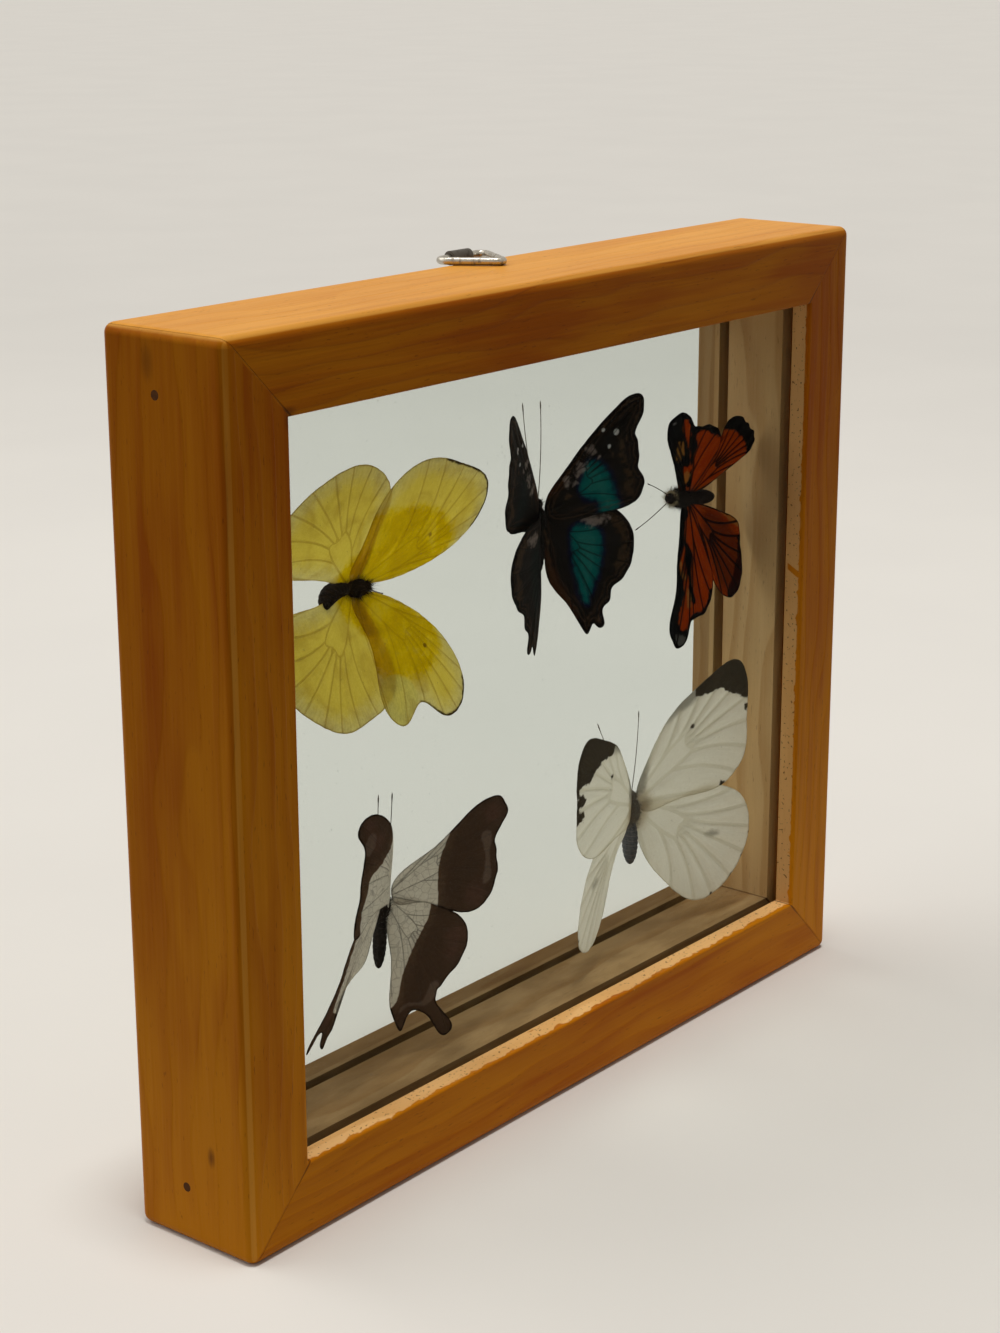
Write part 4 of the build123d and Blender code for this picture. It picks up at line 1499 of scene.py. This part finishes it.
ORANGE_UPPER_HINDWING = WingShape(
    outline=((1.6, -0.6), (8, -2.6), (14.5, -3.4), (20.3, -3.6), (21.2, -6.6), (18.6, -13.4),
             (15.4, -17.8), (12.8, -18.4), (9.4, -15.6), (4.9, -9.6), (1.6, -4)),
    hub=(9, -9.5),
    veins=Venation((9, -6.6), 1.5, (
        (11, -3), (17, -3.5), (21, -4.6), (20.6, -8.4), (19, -12.4), (17, -15.8),
        (14.6, -18.2), (11.8, -17.8), (8.4, -14.4), (3.6, -7.4))),
    patches=(
        Patch("black", (
            ((18.3, -2.6), (17.6, -6.8), (16.6, -9.7), (15.2, -12.7), (13.4, -15.3), (11, -17.4),
             (11.6, -21), (15.4, -21.8), (19.8, -17.3), (22.8, -11.5), (23.4, -7.2), (22, -2.6)),)),
        Patch("straw", (((1.4, -3.8), (5, -9), (8, -13.4), (6.8, -13.6), (3.6, -9.6), (1, -5)),)),
    ),
    scallop=0.4,
)
ORANGE_LOWER_HINDWING = WingShape(
    outline=((1.6, -0.6), (9, -4.2), (18, -6.8), (22.9, -10.6), (23.8, -14.6), (18, -19.8),
             (10.3, -20.6), (6.9, -20.8), (4, -15.6), (1.6, -6)),
    hub=(7.5, -9.5),
    veins=Venation((9.6, -8.6), 1.6, (
        (12, -5.2), (18.4, -7), (22.8, -10.4), (23.9, -13.8), (21.6, -17), (18, -19.8),
        (13.8, -20.5), (9.6, -20.6), (6.2, -19.8), (2.8, -11))),
    patches=(
        Patch("black", (
            ((9, -22.4), (13.1, -23.6), (18.4, -22.6), (25, -17.6), (25.4, -13.4), (23, -12.4),
             (20.4, -14.4), (16.5, -16.8), (13, -18.6), (9.6, -19.6)),)),
        Patch("dusk", (
            ((3.4, -6), (12, -7), (22, -12), (22, -17), (10, -19), (6.4, -16)),)),
        Patch("straw", (
            ((0.8, -5), (1.3, -10.9), (2.7, -15), (5.8, -21.8), (6.9, -21.3), (4.4, -14.7),
             (2.7, -9.8), (1.7, -5.7)),)),
    ),
    scallop=0.25,
)
WHITE_FOREWING = WingShape(
    outline=((1.2, 0.8), (3.6, 8.2), (11.2, 19.1), (22.2, 26.3), (31.6, 28.9), (34.3, 24.6),
             (34.6, 15), (33.8, 5.2), (27.3, -0.8), (13, -2), (2, -1.6)),
    hub=(18.5, 12.5),
    veins=Venation((17, 12), 2.6, (
        (8.4, 15.8), (14.5, 22), (21, 25.8), (28.6, 28.4), (34, 25.4), (34.7, 19.6), (34.6, 13.8),
        (34, 7.4), (31, 1.8), (21, -1.4))),
    patches=(
        Patch("black", (
            ((18.6, 22.6), (20.2, 22.2), (23.3, 22.6), (26.5, 22.8), (28.4, 21.7), (31.6, 20.5),
             (34, 19.4), (36.5, 20), (35, 30), (28, 31), (21, 27.5)),
        ), ((34.3, 17, 0.75), (34.9, 13.2, 0.5), (27, -0.6, 0.85), (17.5, 15.2, 0.62))),
        Patch("grey", (
            ((0.6, 1.6), (2.8, 8.6), (10.4, 19.9), (21.8, 27.2), (21.6, 25.6), (11.6, 18.4), (4.4, 8),
             (2, 1.4)),)),
        Patch("warm", (), ((1.5, -0.5, 3.6),)),
    ),
)
WHITE_LEFT_FOREWING = WingShape(
    outline=WHITE_FOREWING.outline,
    hub=WHITE_FOREWING.hub,
    veins=WHITE_FOREWING.veins,
    patches=(
        Patch("black", (
            ((9.4, 18), (14.9, 21), (17.2, 20.3), (19.4, 20.7), (23.4, 20.9), (27.5, 19.6),
             (30, 19), (33, 19.2), (34.1, 17.6), (34, 15), (34.2, 11), (36, 10.6),
             (36, 30), (28, 31), (15, 25)),
            ((31, 15.4), (33.9, 17.4), (35, 15.6)),
            ((31.6, 11.9), (34.2, 13.6), (35, 11.8))), ((16.2, 14.4, 0.62),)),
        WHITE_FOREWING.patches[1],
        Patch("warm", (), ((1.5, -0.5, 3.6),)),
    ),
)
WHITE_RIGHT_HINDWING = WingShape(
    outline=((1.6, -0.8), (12.9, -1.2), (21.6, 0.3), (27.9, -1.4), (33.8, -5), (36.4, -12),
             (34.3, -20.2), (24.8, -28.3), (20.6, -28.8), (12.1, -23.4), (5.7, -16.3), (1.6, -7)),
    hub=(14, -10.5),
    veins=Venation((15.5, -9.5), 2.8, (
        (22, 0.3), (30.2, -2.6), (35.4, -7.6), (36.4, -13.2), (34.6, -19.4), (30.4, -24.4),
        (25, -28.2), (19.6, -28.4), (12.6, -23.8), (4.8, -14.6))),
    patches=(
        Patch("black", (), ((36.6, -14.9, 0.42), (34.3, -20.4, 0.45), (30.6, -24.9, 0.42),
                            (25, -28.4, 0.6), (36.5, -9.4, 0.34))),
        Patch("grey", (((22.6, -12.4), (24.4, -12), (26.6, -13), (24.6, -13.4)),)),
        Patch("warm", (), ((1.5, -3, 3.6),)),
    ),
)
WHITE_LEFT_HINDWING = WingShape(
    outline=((1.6, -0.8), (12, -2.4), (23.5, -3.3), (30.3, -7), (34.8, -15.4), (32.8, -23),
             (27, -25.8), (19, -21.6), (8.3, -8.2), (1.8, -3.8)),
    hub=(15, -8),
    veins=Venation((16, -8), 1.8, (
        (18, -2.8), (25, -3.8), (30.2, -6.9), (33.6, -12), (34.6, -17.6), (33, -22.8),
        (29.6, -25.4), (25.4, -25.2), (18.6, -21.2), (9, -9.2))),
    patches=(
        Patch("black", (), ((34.9, -14.6, 0.3), (34.2, -20.6, 0.35), (30, -25.5, 0.35))),
        Patch("grey", (((22, -10.4), (24, -10), (26, -11), (24.2, -11.4)),)),
        Patch("warm", (), ((1.5, -3, 3),)),
    ),
)
BROWN_FOREWING = WingShape(
    outline=((1.2, 0.8), (9.7, 8.8), (18.7, 16.3), (23.3, 19.1), (26.6, 19.2), (28.3, 15.8),
             (26, 11.4), (26.5, 5.5), (26.1, -0.1), (22.1, -4.9), (14.6, -4.2), (7.5, -2),
             (2, -1.4)),
    hub=(16, 7.5),
    veins=Venation((12.4, 6.4), 1.8, (
        (9, 8.2), (14.6, 13), (19.6, 17), (25.4, 19.4), (28.2, 15.6), (26.3, 12.2), (26.2, 8),
        (26.6, 3.6), (25.6, -1.6), (18, -4.7))),
    patches=(
        Patch("dark", (
            ((15.6, 15), (13.9, 11), (12.6, 7.7), (12.1, 2.2), (12.4, -2.4), (13.2, -7),
             (24, -8), (30, 0), (31, 20), (24, 23)),)),
        Patch("pale", (((22.7, 12), (23.5, 12.2), (24.3, 6.6), (24.4, 1), (23.6, 0.6), (23.3, 6)),)),
        Patch("warm", (), ((21.4, -1.6, 2.6), (24.6, 15.8, 2))),
    ),
    scallop=0.35,
)
BROWN_HINDWING = WingShape(
    outline=((1.7, -0.6), (6.6, -0.9), (12.4, -3), (19.9, -7.9), (20.6, -12.8), (15.9, -19.8),
             (13.7, -23.8), (18, -31.4), (16.9, -32.2), (12.1, -27.6), (7.4, -26.4), (5.6, -29.9),
             (3.8, -27.2), (2.6, -24), (2.4, -14)),
    hub=(4.6, -14.5),
    veins=Venation((7.6, -9), 1.5, (
        (10, -2), (15.4, -4.8), (19.8, -8), (20.5, -12.2), (18, -16.6), (15, -21.4),
        (17, -31.4), (10.4, -27), (5.6, -29), (2.5, -18))),
    patches=(
        Patch("dark", (
            ((11.2, -1.4), (11, -4), (8.9, -9), (6.4, -14.3), (4.8, -19.3), (3.4, -24),
             (0.6, -25.6), (2, -33), (20, -35), (24, -14), (21, -4)),)),
        Patch("pale", (
            ((14, -20), (10.8, -24.8), (7, -24.6), (4.8, -25.6), (5.6, -24.4), (10.2, -23.8),
             (13.2, -19.6)),)),
        Patch("warm", (), ((17.6, -10.4, 2.4), (17, -14, 1.8))),
    ),
    scallop=0.3,
)
BROWN_LEFT_FOREWING = WingShape(
    outline=((1.2, 0.8), (4.4, 6.6), (8.4, 14), (12.4, 17.7), (16.7, 19.9), (20, 20.5),
             (22.6, 19.2), (23.2, 16.2), (21.4, 14), (20.8, 11.2), (21, 6.3), (20.9, 3.2),
             (21.5, -1.6), (21, -5), (17.2, -1.2), (12.6, 0.4), (7, -0.2), (2, -1.2)),
    hub=(15, 9),
    veins=Venation((10.4, 8.6), 1.6, (
        (6.2, 10.2), (10, 15.8), (14.4, 19), (19, 20.4), (22.8, 18.4), (22.2, 14.8), (20.9, 10.6),
        (20.9, 5.6), (21.2, 0), (14.6, -0.4))),
    patches=(
        Patch("dark", (
            ((10, 14.5), (11.6, 12.2), (13.6, 11.1), (15.1, 9.7), (16.5, 8.9), (17.8, 8.2),
             (18.5, 7.1), (18.8, 5.1), (19.3, 3.1), (19.8, 1.1), (19.9, -3.4), (19.6, -7),
             (25, -6), (25, 22), (14, 23)),)),
        Patch("pale", (((18.9, 16.6), (20.2, 16.4), (20, 12), (19.4, 12.2)),)),
        Patch("warm", (), ((16.8, 14.8, 2), (20.4, 18, 1.6))),
    ),
)
BROWN_LEFT_HINDWING = WingShape(
    outline=((1.7, -0.6), (6.6, -0.9), (10.8, -3.6), (14.8, -8), (15.4, -12), (14.6, -16.5),
             (15.4, -20.6), (17.2, -25), (19.5, -30.8), (18.6, -31.8), (16.2, -28), (14.2, -27.6),
             (12.7, -30.8), (11, -31.6), (10.7, -29.6), (9.6, -27.4), (10.3, -24.4), (10.7, -21.5),
             (9, -18.2), (6.2, -15.8), (3.6, -14), (2.2, -9)),
    hub=(9, -12),
    veins=Venation((8, -8.6), 1.3, (
        (9.4, -2.4), (13, -5.8), (15.1, -9.6), (15.2, -13.6), (14.6, -17.6), (15.8, -21.8),
        (18.8, -30.6), (13.2, -29.4), (10.4, -24), (3.6, -14))),
    patches=(
        Patch("dark", (
            ((6, 0), (8.6, -3.6), (12.4, -9.6), (12.6, -13), (12.4, -17), (12.8, -20.4),
             (12.4, -23), (9, -24.4), (8, -34), (21, -34), (18, -14), (17, -6)),)),
        Patch("warm", (), ((14, -24, 1.4),)),
    ),
)

TURQUOISE_WINGS = WingFinish(
    "turquoise_wing", ground=srgb(25, 16, 9), shade=srgb(9, 6, 4),
    layers=(
        Layer(srgb(88, 50, 24), "rust", soft=0.9, ragged=0.6, share=0.7),
        Layer(srgb(112, 84, 58), "beige", at=-0.3, soft=0.8, ragged=1.2, share=0.4),
        Layer(srgb(8, 20, 64), "jewel", at=0.7, soft=0.8, ragged=0.3, share=0.85, sheen=True),
        Layer(srgb(6, 126, 122), "jewel", at=-0.2, soft=0.75, ragged=0.4, sheen=True),
        Layer(srgb(60, 160, 146), "jewel", at=-1.7, soft=0.9, ragged=0.6, share=0.5, sheen=True),
        Layer(srgb(214, 192, 180), "frost", at=-0.25, soft=0.7, ragged=0.8, share=0.55),
        Layer(srgb(248, 246, 240), "white", soft=0.18, ragged=0.1),
        Layer(srgb(96, 68, 46), "margin", at=1.15, width=0.34, soft=0.25, ragged=0.3, share=0.45,
              scallop=0.2),
        Layer(srgb(84, 58, 40), "margin", at=2.3, width=0.4, soft=0.3, ragged=0.3, share=0.35,
              scallop=0.3),
    ),
    vein_colour=srgb(8, 6, 5), vein_width=0.2, vein_share=0.6, light_through=0.12, roughness=0.5,
)
YELLOW_WINGS = WingFinish(
    "yellow_wing", ground=srgb(250, 238, 150), shade=srgb(235, 221, 126),
    layers=(
        Layer(srgb(250, 245, 214), "margin", at=2.8, soft=2.8, ragged=0.8, share=0.6),
        Layer(srgb(250, 229, 12), "vivid", soft=1.3, ragged=0.8, share=0.97),
        Layer(srgb(246, 240, 172), "flap", soft=0.4, ragged=0.3, share=0.7),
        Layer(srgb(84, 56, 24), "margin", at=0.42, soft=0.2, ragged=0.25, share=0.9, within="tip"),
        Layer(srgb(150, 116, 30), "dot", soft=0.2, ragged=0.2, share=0.75),
    ),
    vein_colour=srgb(190, 160, 70), vein_width=0.22, vein_share=0.3, light_through=0.76,
    roughness=0.55, clouds=0.25,
)
ORANGE_WINGS = WingFinish(
    "orange_wing", ground=srgb(246, 128, 10), shade=srgb(180, 70, 4),
    layers=(
        Layer(srgb(8, 6, 6), "bars", soft=0.25, ragged=0.35),
        Layer(srgb(8, 6, 6), "black", soft=0.3, ragged=0.4),
        Layer(srgb(226, 164, 74), "straw", soft=0.35, ragged=0.4, share=0.8),
        Layer(srgb(150, 146, 138), "ash", soft=0.4, ragged=0.5, share=0.8),
        Layer(srgb(96, 26, 8), "dusk", soft=1.6, ragged=0.8, share=0.55),
        Layer(srgb(8, 6, 6), "margin", at=0.3, soft=0.18, ragged=0.2, share=0.9),
    ),
    vein_colour=srgb(20, 8, 5), vein_width=0.36, vein_share=0.9, light_through=0.46, streaks=0.7,
)
WHITE_WINGS = WingFinish(
    "white_wing", ground=srgb(252, 249, 241), shade=srgb(240, 236, 225),
    layers=(
        Layer(srgb(206, 190, 160), "warm", soft=2.0, ragged=0.6, share=0.6),
        Layer(srgb(176, 172, 160), "grey", soft=0.9, ragged=0.3, share=0.6),
        Layer(srgb(122, 112, 96), "black", soft=0.22, ragged=0.5),
    ),
    vein_colour=srgb(216, 210, 188), vein_width=0.5, vein_share=0.22, light_through=0.68,
)
BROWN_WINGS = WingFinish(
    "brown_wing", ground=srgb(242, 237, 227), shade=srgb(220, 214, 203),
    layers=(
        Layer(srgb(142, 117, 95), "dark", soft=0.14, ragged=0.12),
        Layer(srgb(116, 93, 76), "dark", at=-1.6, soft=1.2, ragged=1.0, share=0.6),
        Layer(srgb(168, 146, 130), "pale", soft=0.3, ragged=0.2, share=0.7),
        Layer(srgb(158, 122, 106), "warm", soft=1.4, ragged=0.6, share=0.4),
        Layer(srgb(44, 33, 30), "margin", at=0.35, soft=0.2, ragged=0.15, share=0.7, within="dark"),
    ),
    vein_colour=srgb(120, 113, 106), vein_width=0.12, vein_share=0.45, net_share=0.3,
    net_outside="dark", light_through=0.62,
)


def butterflies() -> list[Butterfly]:
    """The five butterflies, where each is pinned and how its wings are set."""
    dark_feelers = HairFinish("dark_feelers", srgb(70, 56, 48), srgb(110, 92, 80))
    grey_feelers = HairFinish("grey_feelers", srgb(128, 120, 112), srgb(168, 160, 150))
    return [
        Butterfly(
            "turquoise", 10.0, 123.3, 0.0, 3.6, 17.0, ((4.0, 148.3), (10.0, 147.9)),
            wings=(
                WingSet("right_forewing", TURQUOISE_FOREWING, 1, 24, 24, 26),
                WingSet("left_forewing", TURQUOISE_FOREWING, -1, 22.5, 19.1, 26, sweep=3.1, twist=2.8),
                WingSet("right_hindwing", TURQUOISE_HINDWING, 1, 24, 24, 26),
                WingSet("left_hindwing", TURQUOISE_HINDWING, -1, 47.3, -3.9, 26, sweep=2.4, twist=-0.5),
            ),
            wing_finish=TURQUOISE_WINGS,
            body_finish=BodyFinish("turquoise_body", srgb(16, 12, 10), srgb(14, 10, 9), srgb(34, 25, 20)),
            hair_finish=HairFinish("turquoise_hair", srgb(18, 13, 10), srgb(42, 30, 22)),
            feeler_finish=grey_feelers, seed=11,
        ),
        Butterfly(
            "yellow", -49.8, 119.6, 96.0, 5.0, 15.0, ((-40.9, 120.6), (-40.6, 116.6)),
            wings=(
                WingSet("upper_forewing", YELLOW_UPPER_FOREWING, -1, 21, 21, 28),
                WingSet("lower_forewing", YELLOW_LOWER_FOREWING, 1, 22, 22, 28),
                WingSet("upper_hindwing", YELLOW_UPPER_HINDWING, -1, 21, 21, 28),
                WingSet("lower_hindwing", YELLOW_LOWER_HINDWING, 1, 22, 22, 28),
            ),
            wing_finish=YELLOW_WINGS,
            body_finish=BodyFinish("yellow_body", srgb(36, 26, 18), srgb(24, 18, 14), srgb(62, 48, 34)),
            hair_finish=HairFinish("yellow_hair", srgb(34, 25, 18), srgb(96, 78, 50)),
            feeler_finish=dark_feelers, tail_curl=3.6, body_radius=2.1, hairs=1500,
            hair_length=(0.7, 2.1), seed=12,
        ),
        Butterfly(
            "orange", 64.6, 117.4, -82.0, 6.6, 18.0, ((44.6, 113.6), (49.0, 123.4)),
            wings=(
                WingSet("upper_forewing", ORANGE_UPPER_FOREWING, 1, 22, 22, 22),
                WingSet("lower_forewing", ORANGE_LOWER_FOREWING, -1, 15, 15, 34),
                WingSet("upper_hindwing", ORANGE_UPPER_HINDWING, 1, 22, 22, 22),
                WingSet("lower_hindwing", ORANGE_LOWER_HINDWING, -1, 15, 15, 24),
            ),
            wing_finish=ORANGE_WINGS,
            body_finish=BodyFinish("orange_body", srgb(22, 15, 11), srgb(16, 11, 9), srgb(44, 32, 24)),
            hair_finish=HairFinish("orange_hair", srgb(20, 14, 11), srgb(52, 38, 27), srgb(214, 198, 158)),
            feeler_finish=dark_feelers, body_radius=2.25, deep=1.15, hairs=1500, hair_length=(0.6, 1.8),
            seed=13,
        ),
        Butterfly(
            "white", 44.8, 49.0, 0.0, 3.0, 18.0, ((31.0, 71.7), (46.8, 70.8)),
            wings=(
                WingSet("right_forewing", WHITE_FOREWING, 1, 15, 15, 36),
                WingSet("left_forewing", WHITE_LEFT_FOREWING, -1, 24.1, 5.8, 36, sweep=-7.4, twist=4.6),
                WingSet("right_hindwing", WHITE_RIGHT_HINDWING, 1, 15, 15, 36),
                WingSet("left_hindwing", WHITE_LEFT_HINDWING, -1, 15.6, 21.1, 36, sweep=-2, twist=3.3),
            ),
            wing_finish=WHITE_WINGS,
            body_finish=BodyFinish("white_body", srgb(120, 110, 96), srgb(92, 93, 97), srgb(136, 132, 126)),
            hair_finish=HairFinish("white_hair", srgb(176, 166, 148), srgb(96, 88, 78)),
            feeler_finish=grey_feelers, body_radius=1.9, pleat=0.34, hairs=1100, seed=14,
        ),
        Butterfly(
            "brown", -41.2, 52.4, 6.0, 3.4, 19.0, ((-43.0, 75.0), (-38.8, 74.4)),
            wings=(
                WingSet("right_forewing", BROWN_FOREWING, 1, 20, 20, 28),
                WingSet("left_forewing", BROWN_LEFT_FOREWING, -1, 58.3, -19.7, 24, sweep=4.2, twist=0.7),
                WingSet("right_hindwing", BROWN_HINDWING, 1, 20, 20, 28),
                WingSet("left_hindwing", BROWN_LEFT_HINDWING, -1, 14, 45, 26, sweep=10, twist=22),
            ),
            wing_finish=BROWN_WINGS,
            body_finish=BodyFinish("brown_body", srgb(48, 41, 36), srgb(38, 33, 30), srgb(60, 52, 46)),
            hair_finish=HairFinish("brown_hair", srgb(70, 60, 54), srgb(40, 34, 30)),
            feeler_finish=dark_feelers, body_radius=1.35, deep=1.6, seed=15,
        ),
    ]


# ---------------------------------------------------------------- the case
@dataclass(frozen=True)
class Case:
    """The CAD pieces that keep their shapes: frame, panes, brads, hanger and glue."""

    size: CaseSize

    def dress(self) -> None:
        """Gives every kept piece its finish."""
        left, front, top = -self.size.half_width, -self.size.half_depth, 2 * self.size.half_height
        corner_x, corner_z = left + self.size.face, top - self.size.face  # of the window
        members = {
            "top_rail": PineFinish("pine_top", Grain.ALONG_X, (215.0, 26.0), 40.0, self.size,
                                   (Mark((corner_x - 1.0, front, corner_z + 1.0), 1.1, 0.5),)),
            "bottom_rail": PineFinish("pine_bottom", Grain.ALONG_X, (-30.0, 12.0), 300.0, self.size,
                                      inner_shade=0.72, deeper=0.42),
            "left_stile": PineFinish("pine_left", Grain.ALONG_Z, (-128.0, 20.0), 90.0, self.size, (
                Mark((left, -5.2, 20.0), 1.1), Mark((left, 3.6, top - 6.0), 1.8, 0.4),
                Mark((corner_x - 0.8, front, corner_z - 0.6), 1.1, 0.5))),
            "right_stile": PineFinish("pine_right", Grain.ALONG_Z, (130.0, -30.0), 700.0, self.size),
        }
        for node, finish in members.items():
            self.assign(node, finish.material())
        glass = PaneFinish().material()
        self.assign("front_pane", glass)
        self.assign("back_pane", glass)
        brads = SteelFinish("brad_steel", srgb(78, 48, 24), srgb(40, 22, 10), 0.6)
        self.assign("corner_brads", brads.material())
        self.assign("hanger_ring", SteelFinish("hanger_steel", dull=srgb(84, 74, 60), smooth=0.2).material())
        dark = SteelFinish("strap_steel", srgb(92, 86, 78), srgb(58, 51, 44), 0.38).material()
        self.assign("hanger_strap", dark)
        self.assign("hanger_screws", dark)
        self.assign("glue_dots", GlueFinish().material())

    @staticmethod
    def assign(node: str, material: bpy.types.Material) -> None:
        """Puts a material on a CAD node, in every slot that it has.

        Args:
            node: the node's name.
            material: its finish.
        """
        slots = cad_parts[node].data.materials
        if not slots:
            slots.append(material)
        for k in range(len(slots)):
            slots[k] = material
        LOG.info("dressed %s", node)


# ---------------------------------------------------------------- camera, floor and light
@dataclass(frozen=True)
class ViewPoint:
    """Where the camera stands, in metres and degrees, for a frame of 1000 by 1333."""

    place: Place = (-0.4123, -0.3262, 0.2471)
    heading: float = 51.129
    pitch_down: float = 16.3632
    roll: float = -0.1716
    lens: float = 69.82
    sensor: float = 36.0
    far_clip: float = 60.0

    def build(self) -> None:
        """Makes the camera and hands it to the scene."""
        heading, pitch, roll = (math.radians(v) for v in (self.heading, self.pitch_down, self.roll))
        look = np.array([math.sin(heading) * math.cos(pitch), math.cos(heading) * math.cos(pitch),
                         -math.sin(pitch)])
        right = unit(np.cross(look, [0.0, 0.0, 1.0]))
        up = np.cross(right, look)
        turned_right = math.cos(roll) * right + math.sin(roll) * up
        turned_up = -math.sin(roll) * right + math.cos(roll) * up
        data = bpy.data.cameras.new("camera")
        data.lens, data.sensor_width, data.clip_end = self.lens, self.sensor, self.far_clip
        camera = placed("camera", data)
        axes = np.column_stack([turned_right, turned_up, -look])
        camera.matrix_world = Matrix.Translation(self.place) @ Matrix(axes.tolist()).to_4x4()
        bpy.context.scene.camera = camera


@dataclass(frozen=True)
class Lamp:
    """A far, wide lamp: where it stands round the case and above it, in degrees, and its strength."""

    name: str
    heading: float  # from straight behind the case towards its right
    height: float
    strength: float
    width: float = 34.0

    def build(self) -> None:
        """Makes the lamp."""
        lamp = bpy.data.lights.new(self.name, "SUN")
        lamp.energy, lamp.angle = self.strength, math.radians(self.width)
        tilt, turn = math.radians(90.0 - self.height), math.radians(180.0 - self.heading)
        placed(self.name, lamp).rotation_euler = (tilt, 0.0, turn)


@dataclass(frozen=True)
class Studio:
    """A pale floor and plain soft light that comes mostly from above and behind."""

    floor_colour: Colour = srgb(232, 227, 218)
    floor_cloud: Colour = srgb(196, 192, 186)
    cloud_share: float = 0.06
    far_fade: float = 0.14  # how much darker the floor is shown far off
    fading: Point = (0.15, 1.0)  # where it starts to darken and where it has, in metres
    floor_half: float = 14.0
    near_bounce: float = 0.95  # how much of the floor's colour lights the object, close behind it
    far_bounce: float = 0.16
    pool: Point = (0.12, 0.4)  # where the one gives way to the other, in metres
    pool_middle: Place = (0.06, 0.16, 0.0)
    lamps: tuple[Lamp, ...] = (Lamp("ceiling_light", 186.0, 86.3, 1.65, 11.0),
                               Lamp("rear_light", -20.0, 52.0, 0.75, 40.0),
                               Lamp("side_light", -62.0, 30.0, 0.35, 40.0))
    sky: float = 0.22
    sky_colour: Colour = (1.0, 0.985, 0.96)
    seen_sky: Colour = (0.675, 0.645, 0.592)

    def seen(self, r: Nodes) -> Socket:
        """1 for rays that show the surroundings: from the camera, or by way of gloss or glass."""
        path = r.node("LightPath", {}).outputs
        shown = r.larger(path["Is Camera Ray"], path["Is Glossy Ray"])
        return r.larger(shown, path["Is Transmission Ray"])

    def floor(self) -> None:
        """The floor, at the height of the case's base."""
        r = Recipe("floor_paper")
        place = r.node("TexCoord", {}).outputs["Object"]
        cloud = r.noise(place, 9.0, 3.0)
        pale = r.blend(r.step(cloud, 0.3, 0.7, 0.0, self.cloud_share), self.floor_colour, self.floor_cloud)
        out = r.length(r.vector("SUBTRACT", place, self.pool_middle))
        near = r.step(out, *self.pool, 1.0 - self.near_bounce, 1.0 - self.far_bounce)
        dim = r.blend(near, pale, BLACK)
        shown = r.blend(r.step(out, *self.fading, 0.0, self.far_fade), pale, BLACK)
        paper = r.node("BsdfDiffuse", {"Color": r.blend(self.seen(r), dim, shown)})
        h = self.floor_half
        mesh = bpy.data.meshes.new("floor")
        mesh.from_pydata([(-h, -h, 0), (h, -h, 0), (h, h, 0), (-h, h, 0)], [], [(0, 1, 2, 3)])
        mesh.materials.append(r.done(paper))
        floor = placed("floor", mesh)

    def room(self) -> None:
        """A dim even sky that lights the object, and a paler one that rays from the camera see."""
        world = bpy.data.worlds.new("room")
        bpy.context.scene.world = world
        world.use_nodes = True
        r = Nodes(world.node_tree)
        sky = r.node("Background", {"Color": self.sky_colour, "Strength": self.sky})
        shown = r.node("Background", {"Color": self.seen_sky, "Strength": 1.0})
        either = r.mix(self.seen(r), sky, shown)
        r.node("OutputWorld", {"Surface": either.outputs[0]})

    def build(self) -> None:
        """Makes the floor, the lamps, the room and the plain colour settings."""
        self.floor()
        for lamp in self.lamps:
            lamp.build()
        self.room()
        bpy.context.scene.view_settings.view_transform = "Standard"


def main() -> None:
    """Builds the camera, the studio, the case and its butterflies, in that order."""
    logging.basicConfig(level=logging.INFO, format="%(name)s: %(message)s")
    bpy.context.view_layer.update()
    ViewPoint().build()
    Studio().build()
    Case(CaseSize.from_frame()).dress()
    for fly in butterflies():
        fly.build()
    LOG.info("all pieces made")


if __name__ == "__main__":
    main()
